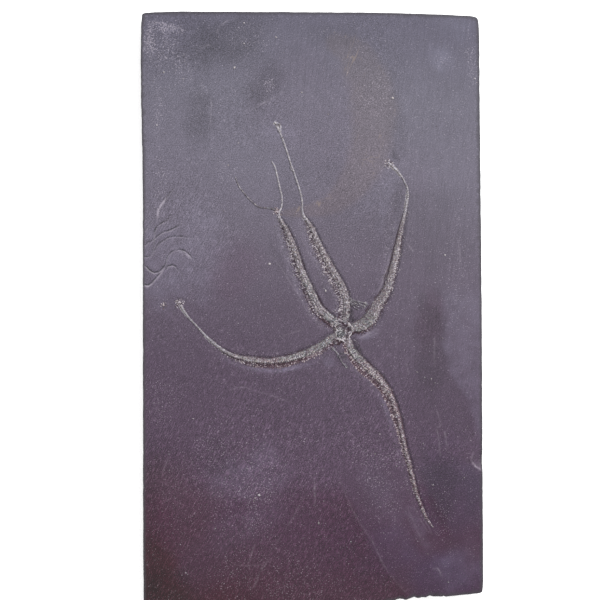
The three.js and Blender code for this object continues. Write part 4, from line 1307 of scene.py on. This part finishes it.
def disc_surface(flat):
    """The crushed disc: low rough plates, with the chains that frame the mouth over them."""
    worn = layered(flat, 1.2, 201)
    fine = bumps(flat, 0.5, 205)
    from_centre = distance_from(DISC_CENTRE, flat)
    edge = DISC_RADIUS - 0.1 + 0.9 * bumps(flat, 2.4, 207) + 1.6 * blob(flat, *WEB)
    body = FACE - 0.1 + 0.1 * worn + 0.06 * fine
    body = body - 0.6 * smooth(from_centre, edge - 0.8, edge + 0.3)
    hollow = blob(flat, *HOLLOW)
    body = body - 0.25 * hollow
    crest = crests(flat)
    field, rng = Field(flat[:, 0], flat[:, 1]), np.random.default_rng(7)
    x, y = DISC_CENTRE
    for count, reach, sizes, heights, tones in DISC_GRAINS:
        field.scatter(rng, count, ((x - reach, x + reach), (y - reach, y + reach)), sizes, heights, tones)
    rough = 0.7 * bumps(flat, GRAIN_SIZE, 209) + 0.25 * bumps(flat, 0.9, 211)
    body = body + field.lift * (1 - 0.6 * hollow) + 0.3 * crest + GRAIN_RELIEF * rough
    dark = dark_spots(flat) * (1 - crest)
    tone = toned(0.15 + 0.15 * worn + 0.1 * fine, field) + 1.7 * crest - 0.25 * hollow - 0.6 * dark
    tone = tone + 2.0 * GRAIN_TONE * rough
    grey = np.clip(sum(blob(flat, middle, radii) for middle, radii in GREY_PATCHES), 0, 1)
    brown = np.clip(dark + sum(blob(flat, middle, radii) for middle, radii in BROWN_PATCHES), 0, 1)
    bed = np.clip(0.35 + 0.65 * brown - 0.5 * grey - 0.5 * crest, 0, 1)
    return body, even_marks(len(flat), tone=tone, bed=bed, brown=brown, green=grey)


disc_points, disc_faces, disc_marks = patch(
    DISC_CENTRE, DISC_REACH, rings=56, spokes=260, shape=disc_surface,
)
disc = make_piece("star_disc", disc_points, disc_faces, ["disc"], disc_marks)
fossil_pieces.append(disc)

# ---------------------------------------------------------------- loose crumbs

# Bits of shell on the face, as (x, y, radius, tone)
BITS = [
    (-44.5, -90.4, 0.35, 0.7), (-45.8, -91.2, 0.22, 0.6), (-34, -74.7, 0.3, 0.6),
    (-41.9, -35.8, 0.32, 0.7), (-36.4, -46.8, 0.22, 0.6), (-50.4, -48.4, 0.22, 0.6),
    (-46.4, -80.4, 0.25, 0.6), (30.2, -52.6, 0.3, 0.6), (48.5, -93.7, 0.35, 0.5),
    (39.6, -44.7, 0.32, 0.5), (43.1, -59.2, 0.35, 0.6), (54.2, -56.7, 0.3, 0.55),
    (24.3, -41.3, 0.34, 0.75), (-18.5, -62.9, 0.55, 0.9), (-19.9, -63.9, 0.3, 0.8),
    (-20.4, -65, 0.25, 0.7), (-21.4, -64.2, 0.2, 0.7), (2.6, -72.8, 0.42, 0.75),
    (-14.8, 19, 0.5, 1.2), (28.8, 77.7, 0.5, 1.1), (47.3, 22.1, 0.38, 0.95),
    (-27.2, 88.5, 0.48, 0.95), (-3.4, 79.7, 0.34, 0.9), (-12.5, 99.3, 0.34, 0.9),
    (-23.8, 97, 0.36, 0.9), (-23.8, 104.3, 0.34, 1), (-52.2, 86.9, 0.34, 0.9),
    (-54.7, 68.1, 0.36, 1), (6, 72, 0.3, 0.7), (-25.8, 61.8, 0.3, 0.8), (-29.4, 53.9, 0.3, 0.8),
    (57.9, 84.6, 0.4, 1), (21.8, -1.5, 0.36, 1), (23.6, 1.8, 0.34, 0.9), (19.8, 0.6, 0.34, 0.9),
    (22, 5.4, 0.36, 0.8), (22.7, 5, 0.28, 0.8), (5.1, 9.5, 0.42, 1), (4.5, 10.3, 0.25, 0.8),
    (7.5, 11.2, 0.24, 0.7), (6.9, 10.2, 0.2, 0.7), (-26, -2, 0.25, 0.7), (58.6, 83.2, 0.25, 0.8),
    (52, 73.5, 0.25, 0.7), (14, -79.4, 0.3, 0.6), (-45.4, 84.5, 0.25, 0.7), (40.2, -21.3, 0.3, 0.6),
    (42.5, -21.7, 0.32, 0.7), (43.8, -23.2, 0.28, 0.6), (37.4, -19.3, 0.3, 0.6),
    (22.5, -48.3, 0.3, 0.6), (27.4, -38.3, 0.25, 0.5),
]
CRUMB_SIDES = 7
CRUMB_SINK = 0.08  # how far a crumb's edge lies under the face
CRUMB_FIELD = ((-58, 58), (-94, 105))  # where crumbs lie anywhere, along X and Y
LOOSE_CRUMBS = 260  # anywhere on the face
DRIFTED_CRUMBS = 170  # beside the arms


def crumb(x, y, radius, height, turn, squash, floor):
    """A small closed dome that sits a little way into the face."""
    points = []
    for reach, rise in ((1.0, -0.15), (0.8, 0.5), (0.4, 0.9)):
        for side in range(CRUMB_SIDES):
            angle = turn + 2 * math.pi * side / CRUMB_SIDES
            bulge = 1 + squash * math.cos(2 * (angle - turn)) + 0.12 * math.cos(5 * angle)
            points.append((
                x + radius * reach * bulge * math.cos(angle),
                y + radius * reach * bulge * math.sin(angle),
                floor + height * rise - (CRUMB_SINK if rise < 0 else 0),
            ))
    points.append((x, y, floor + height))
    faces = [tuple(reversed(range(CRUMB_SIDES)))]
    for side in range(CRUMB_SIDES):
        after = (side + 1) % CRUMB_SIDES
        for ring in (0, 1):
            a, b = ring * CRUMB_SIDES, (ring + 1) * CRUMB_SIDES
            faces.append((a + side, a + after, b + after, b + side))
        faces.append((2 * CRUMB_SIDES + side, 2 * CRUMB_SIDES + after, len(points) - 1))
    return np.array(points), faces


def crumb_spots():
    """Where the crumbs lie: the listed bits, some near the arms, and some anywhere."""
    rng = np.random.default_rng(11)
    spots = list(BITS)
    thick = ARM_LINES.rows[ARM_LINES.rows[:, 2] > 1.2]
    for _ in range(DRIFTED_CRUMBS):
        row = thick[rng.integers(len(thick))]
        away, way = row[2] * (0.75 + 0.6 * rng.random() ** 2), rng.uniform(0, 2 * math.pi)
        radius = rng.uniform(0.1, 0.22)
        x, y = row[0] + away * math.cos(way), row[1] + away * math.sin(way)
        spots.append((x, y, radius, rng.uniform(0.3, 0.8)))
    for _ in range(LOOSE_CRUMBS):
        radius = 0.09 + 0.14 * rng.random() ** 2
        x, y = rng.uniform(*CRUMB_FIELD[0]), rng.uniform(*CRUMB_FIELD[1])
        spots.append((x, y, radius, rng.uniform(0.2, 0.7)))
    return np.array(spots)


def crumb_piece():
    """All the crumbs and the loose spines, as one piece."""
    rng = np.random.default_rng(12)
    shell = Shell()
    spots = crumb_spots()
    for (x, y, radius, tone), floor in zip(spots.tolist(), ground(spots[:, :2]).tolist()):
        height = radius * rng.uniform(0.6, 0.9)
        points, faces = crumb(x, y, radius, height, rng.uniform(0, 6.3), rng.uniform(0, 0.3), floor)
        shell.add(points, faces, even_marks(len(points), tone=tone))
    for count, route in enumerate(LOOSE_SPINES):
        points, faces, marks = arm_shape(route, LOOKS["arm_upper_middle"], 800 + 10 * count, SPINE_WIDTH)
        marks["tone"] = marks["tone"] - 0.4 + 0.4 * bumps(points, 0.8, 820 + count)
        shell.add(points, faces, marks)
    return shell.make("star_crumbs", [])


fossil_pieces.append(crumb_piece())

# ---------------------------------------------------------------- materials

# Colours are linear, as Blender's sockets take them. Stops go from dark to bright, except the slate's,
# which go from the slab's bottom to its top. The slate's stops are partly its own colour and partly a
# painted sheen: paler and bluer towards the top, darker towards the bottom.
SLATE_AND_SHEEN_STOPS = [
    (0.02, (0.030, 0.009, 0.019)),
    (0.16, (0.036, 0.014, 0.032)),
    (0.25, (0.046, 0.026, 0.0475)),
    (0.40, (0.049, 0.032, 0.0535)),
    (0.50, (0.058, 0.043, 0.065)),
    (0.64, (0.080, 0.068, 0.093)),
    (0.74, (0.092, 0.083, 0.1105)),
    (0.86, (0.088, 0.082, 0.108)),
    (0.99, (0.066, 0.061, 0.087)),
]
RIDGE_STOPS = [
    (0.0, (0.042, 0.031, 0.040)), (0.5, (0.121, 0.102, 0.113)), (0.75, (0.178, 0.156, 0.170)),
    (1.0, (0.335, 0.308, 0.326)),
]
GREEN_STOPS = [
    (0.0, (0.030, 0.029, 0.034)), (0.5, (0.103, 0.104, 0.109)), (0.75, (0.160, 0.163, 0.168)),
    (1.0, (0.32, 0.31, 0.318)),
]
WHIP_STOPS = [
    (0.0, (0.055, 0.047, 0.058)), (0.5, (0.150, 0.136, 0.152)), (1.0, (0.33, 0.315, 0.34)),
]
BED_STOPS = [
    (0.0, (0.016, 0.006, 0.014)), (0.3, (0.052, 0.035, 0.050)), (0.6, (0.107, 0.087, 0.104)),
    (1.0, (0.32, 0.29, 0.312)),
]
BROWN_STOPS = [
    (0.0, (0.016, 0.004, 0.009)), (0.3, (0.044, 0.018, 0.031)), (0.6, (0.097, 0.064, 0.080)),
    (1.0, (0.315, 0.27, 0.284)),
]
DUST_AND_HIGHLIGHT_COLOUR = (0.042, 0.043, 0.059)  # what a full layer of dust adds; it also paints the highlight on trench walls facing the light
SPECK_COLOUR = (0.125, 0.112, 0.125)  # what a full speck adds
VEIN_COLOUR = (0.165, 0.128, 0.108)
# The sides and the edge of the face are darker: partly the sawn stone's own colour and partly painted
# shade
SIDE_SHADE_COLOUR = (0.03, 0.027, 0.032)
# Tints multiply the colour that they lie on.
# The red and rust tints are partly the slate's own colour and partly a painted warm shadow at the
# lower-left corner.
RED_AND_WARM_SHADOW_TINT = (0.86, 0.3, 0.58)
COOL_TINT = (0.95, 1.3, 1.48)
RUST_AND_WARM_SHADOW_TINT = (1.02, 0.97, 0.68)
WARM_TINT = (1.03, 1.0, 0.86)
BLUE_TINT = (0.97, 1.0, 1.15)
FILM_TINT = (1.12, 0.98, 0.78)

SLAB_LENGTH = 217
PLAIN_SLATE = 0.955  # brightness of the slate where nothing marks it
DARKEST_SLATE = 0.15
GRAIN_ON_SLANT = 0.55  # how much coarser the grain is among slanting streaks
GRAIN_ON_UPRIGHT = 0.45  # how much finer it is among upright ones
VEINS = ((72, 34.0, 4.0, 0.5), (-8, 16.0, 5.0, 0.3))  # turn in degrees, length, width, strength
VEIN_HALF = 0.008  # half of a vein's width, in units of its noise
SLATE_RELIEF = 0.1 * MM
FOSSIL_RELIEF = 0.12 * MM


class Signal:
    """What an output of a shader node carries: a number, a colour or a place."""

    def __init__(self, socket):
        """Hold the output, and the node tree that it is in."""
        self.socket, self.tree = socket, socket.id_data

    def maths(self, operation, other=0.0):
        """The number worked out from this one and another."""
        made = node(self.tree, "ShaderNodeMath", {0: self, 1: other}, operation=operation)
        return Signal(made.outputs[0])

    def __add__(self, other):
        """This number plus another."""
        return self.maths("ADD", other)

    def __sub__(self, other):
        """This number less another."""
        return self.maths("SUBTRACT", other)

    def __mul__(self, other):
        """This number times another."""
        return self.maths("MULTIPLY", other)

    def at_least(self, other):
        """The larger of this number and another."""
        return self.maths("MAXIMUM", other)

    def ramp(self, low, high, to_low=0.0, to_high=1.0):
        """This number turned from the range low to high into another range, smoothly."""
        limits = {"From Min": low, "From Max": high, "To Min": to_low, "To Max": to_high}
        made = node(
            self.tree, "ShaderNodeMapRange", {"Value": self, **limits}, interpolation_type="SMOOTHSTEP",
        )
        return Signal(made.outputs["Result"])

    def noise(self, size, detail=2.0, roughness=0.5):
        """Noise around 0 at this place, with features of about the given size in millimetres."""
        made = node(
            self.tree, "ShaderNodeTexNoise",
            {"Vector": self, "Scale": 1 / size, "Detail": detail, "Roughness": roughness},
        )
        return Signal(made.outputs["Fac"]) - 0.5

    def streaks(self, turn, long, wide, detail):
        """Noise drawn out into streaks, at an angle to the X axis in degrees."""
        turned = node(
            self.tree, "ShaderNodeMapping",
            {"Vector": self, "Rotation": (0, 0, -math.radians(turn))}, vector_type="POINT",
        )
        return Signal(turned.outputs["Vector"]).times((1 / long, 1 / wide, 1 / wide)).noise(1.0, detail)

    def times(self, amount):
        """This colour or place times a number, or times another colour."""
        if isinstance(amount, tuple):
            made = node(self.tree, "ShaderNodeVectorMath", {0: self, 1: amount}, operation="MULTIPLY")
        else:
            made = node(self.tree, "ShaderNodeVectorMath", {0: self, "Scale": amount}, operation="SCALE")
        return Signal(made.outputs["Vector"])

    def mixed(self, share, second, blend="MIX"):
        """This colour with a share of a second one."""
        made = node(
            self.tree, "ShaderNodeMix", {}, data_type="RGBA", blend_type=blend, clamp_factor=True,
        )
        inputs = {socket.identifier: socket for socket in made.inputs}
        feed(inputs["Factor_Float"], share)
        feed(inputs["A_Color"], self)
        feed(inputs["B_Color"], (*second, 1) if isinstance(second, tuple) else second)
        return Signal(next(s for s in made.outputs if s.identifier == "Result_Color"))

    def tinted(self, share, tint):
        """This colour with a share of it multiplied by a tint."""
        return self.mixed(share, self.times(tint))

    def coloured(self, stops):
        """The colour for this number from (number, colour) stops."""
        made = node(self.tree, "ShaderNodeValToRGB", {"Fac": self})
        elements = made.color_ramp.elements
        while len(elements) < len(stops):
            elements.new(0.5)
        for element, (place, colour) in zip(elements, stops):
            element.position = place
            element.color = (*colour, 1)
        return Signal(made.outputs["Color"])


def feed(socket, value):
    """Link a signal to an input, or set the input to a plain value."""
    if isinstance(value, Signal):
        value.tree.links.new(value.socket, socket)
    else:
        socket.default_value = value


def node(tree, kind, sources, **settings):
    """A shader node with its settings and with what goes into its inputs."""
    made = tree.nodes.new(kind)
    for key, value in settings.items():
        setattr(made, key, value)
    for key, value in sources.items():
        feed(made.inputs[key], value)
    return made


def start_material(name, labels):
    """A new material with its shader, its place in millimetres and the mesh's attributes."""
    material = bpy.data.materials.new(name)
    material.use_nodes = True
    tree = material.node_tree
    where = Signal(node(tree, "ShaderNodeTexCoord", {}).outputs["Object"]).times(1 / MM)
    marks = {
        label: Signal(node(tree, "ShaderNodeAttribute", {}, attribute_name=label).outputs["Fac"])
        for label in labels
    }
    return material, tree.nodes["Principled BSDF"], where, marks


def set_relief(shader, height, distance, strength):
    """Give a shader the fine relief of a height signal."""
    sources = {"Height": height, "Distance": distance, "Strength": strength}
    bump = node(shader.id_data, "ShaderNodeBump", sources)
    feed(shader.inputs["Normal"], Signal(bump.outputs["Normal"]))


def slate_and_sheen(where, marks, mottle, grain, slanting):
    """The slate's colour, partly its own and partly a painted sheen: grey-blue and paler at the top,
    purple-brown and darker at the bottom.
    """
    split = node(where.tree, "ShaderNodeSeparateXYZ", {"Vector": where})
    x, y = Signal(split.outputs["X"]), Signal(split.outputs["Y"])
    up = y * (1 / SLAB_LENGTH) + 0.5 + where.noise(45.0) * 0.1 + x * 0.0003
    layers = (
        (where.noise(16.0, 3.0), 0.16),
        (mottle, 0.14),
        (grain, 2.0),
        (slanting * marks["slant"], 0.95),
        (slanting.ramp(0.02, 0.26) * marks["slant"], 0.42),
        (where.streaks(84, 8.0, 0.5, 1.0) * marks["upright"], 0.35),
        # The shade mark is partly the slate's darker patches and partly painted shade; the fold mark
        # below it is painted shade along the folds
        (marks["shade"], -1.0),
        (marks["fold_painted_shade"], -0.7),
    )
    (part, strength), *others = layers
    bright = part * strength + PLAIN_SLATE
    for part, strength in others:
        bright = bright + part * strength
    # The colour up the slab is partly the slate's own and partly a painted sheen
    colour = up.coloured(SLATE_AND_SHEEN_STOPS).times(bright.at_least(DARKEST_SLATE))
    colour = colour.tinted(marks["red_and_warm_shadow"] * mottle.ramp(-0.2, 0.2, 0.7, 1.0), RED_AND_WARM_SHADOW_TINT)
    colour = colour.tinted(marks["cool"], COOL_TINT)
    return colour.tinted(marks["rust_and_warm_shadow"], RUST_AND_WARM_SHADOW_TINT)


def filmed(colour, where, film):
    """The colour under a warm film with thin veins of the same mineral."""
    colour = colour.tinted(film * 0.35, FILM_TINT)
    for turn, long, wide, strength in VEINS:
        vein = where.streaks(turn, long, wide, 2.0).maths("ABSOLUTE").ramp(VEIN_HALF, 0.0)
        vein = vein * where.noise(9.0).ramp(-0.02, 0.1)
        colour = colour.mixed(vein * film * strength, VEIN_COLOUR)
    return colour


def slate_material():
    """Grained slate with slanting and upright streaks, tints, film, dust, specks and scratches, and
    painted sheen, shade and highlights.
    """
    material, shader, where, marks = start_material("slate", FACE_MARKS)
    mottle = where.noise(4.0, 3.0)
    coarser = marks["slant"] * GRAIN_ON_SLANT - marks["upright"] * GRAIN_ON_UPRIGHT
    grain = where.noise(0.33, 1.0) * (coarser + 1.0)
    slanting = where.streaks(62, 2.2, 0.36, 1.0)
    colour = filmed(slate_and_sheen(where, marks, mottle, grain, slanting), where, marks["film"])
    # Dust, and the painted highlight on trench walls that face the light, make the slate paler and bluer
    colour = colour.mixed(marks["dust_and_highlight"] * mottle.ramp(-0.15, 0.15, 0.5, 1.0), DUST_AND_HIGHLIGHT_COLOUR, "ADD")

    # Pale specks are closer together where the face is speckled
    bits = where.noise(0.42, 1.0, 0.6) + where.noise(3.0) * 0.1 + marks["speckle"] * 0.13
    # The scratch mark brings real scratches and the painted highlight along each fold
    speck = bits.ramp(0.15, 0.28).at_least(marks["scratch"] * 0.65)
    speck = speck.at_least(slanting.ramp(0.06, 0.3) * marks["slant"] * 0.18)
    colour = colour.mixed(speck, SPECK_COLOUR, "ADD")
    # The sides and the edge are partly the sawn stone's darker colour and partly painted shade
    feed(shader.inputs["Base Color"], colour.mixed(marks["side"] * 0.75, SIDE_SHADE_COLOUR))
    feed(shader.inputs["Roughness"], mottle * 0.3 + 0.58 + grain * 0.3)
    shader.inputs["Specular IOR Level"].default_value = 0.3
    height = where.noise(0.55, 3.0, 0.6) * 0.6 + where.noise(5.0, 3.0) * 1.5 + slanting * 0.6
    set_relief(shader, height, SLATE_RELIEF, 0.5)
    return material


def fossil_material():
    """Pale ridges, red-brown and dark beds, and crystals that are each a little warm or cool."""
    material, shader, where, marks = start_material("fossil", FOSSIL_MARKS)
    grain = where.noise(0.6, 2.0, 0.6)
    cloudy = where.noise(2.2)
    value = marks["tone"] + grain * 0.2 + where.noise(0.3, 1.0) * 1.5 + cloudy * 0.1
    hue = where.noise(0.5, 1.0) * 3.0
    brown = value.coloured(BROWN_STOPS)
    ridge = value.coloured(RIDGE_STOPS).mixed(marks["brown"] * 0.5 + hue, brown)
    ridge = ridge.mixed(marks["green"] - hue, value.coloured(GREEN_STOPS))
    ridge = ridge.mixed(marks["whip"], value.coloured(WHIP_STOPS))
    bed = value.coloured(BED_STOPS).mixed(marks["brown"], brown)
    colour = ridge.mixed(marks["bed"] + cloudy * 0.15, bed)
    warm = where.noise(0.37, 1.0) * 5.0
    colour = colour.tinted(warm, WARM_TINT).tinted(warm * -1.0, BLUE_TINT)
    feed(shader.inputs["Base Color"], colour)
    feed(shader.inputs["Roughness"], grain * 0.4 + 0.62)
    shader.inputs["Specular IOR Level"].default_value = 0.35
    set_relief(shader, grain, FOSSIL_RELIEF, 0.6)
    return material


slab.data.materials.append(slate_material())
fossil = fossil_material()
for piece in fossil_pieces:
    piece.data.materials.append(fossil)

# ---------------------------------------------------------------- stage, light and camera

FRAME_WIDTH = 212.4 * MM  # what the picture spans at the face
CAMERA_SPOT = (-4.0 * MM, 6.2 * MM)
CAMERA_DISTANCE = 0.5
FLOOR_SIZE = 6.0
FLOOR_DROP = 0.0003  # how far the floor lies under the slab
FLOOR_PAINT = {
    "Base Color": (0.92, 0.92, 0.92, 1), "Roughness": 0.9,
    "Emission Color": (1, 1, 1, 1), "Emission Strength": 0.3,
}
SKY_STRENGTH = 1.15
LIGHT_SPOT, LIGHT_SIZE, LIGHT_POWER = (0.70, 0.69, 0.77), 0.3, 17

scene = bpy.context.scene
scene.view_settings.view_transform = "Standard"

bpy.ops.mesh.primitive_plane_add(size=FLOOR_SIZE, location=(0, 0, -FLOOR_DROP))
floor = bpy.context.object
floor.name = "floor"
paint = bpy.data.materials.new("floor_paint")
paint.use_nodes = True
for label, value in FLOOR_PAINT.items():
    paint.node_tree.nodes["Principled BSDF"].inputs[label].default_value = value
floor.data.materials.append(paint)

camera_data = bpy.data.cameras.new("camera")
camera_data.sensor_width = 36
camera_data.lens = camera_data.sensor_width * CAMERA_DISTANCE / FRAME_WIDTH
camera = bpy.data.objects.new("camera", camera_data)
camera.location = (*CAMERA_SPOT, FACE * MM + CAMERA_DISTANCE)
scene.collection.objects.link(camera)
scene.camera = camera

world = bpy.data.worlds.new("world")
world.use_nodes = True
sky = world.node_tree.nodes["Background"]
sky.inputs["Color"].default_value = (1, 1, 1, 1)
sky.inputs["Strength"].default_value = SKY_STRENGTH
scene.world = world

# The key light faces the middle of the slab
key_data = bpy.data.lights.new("key", "AREA")
key_data.size = LIGHT_SIZE
key_data.energy = LIGHT_POWER
key = bpy.data.objects.new("key", key_data)
key.location = LIGHT_SPOT
key.rotation_euler = (-Vector(LIGHT_SPOT)).to_track_quat("-Z", "Y").to_euler()
scene.collection.objects.link(key)
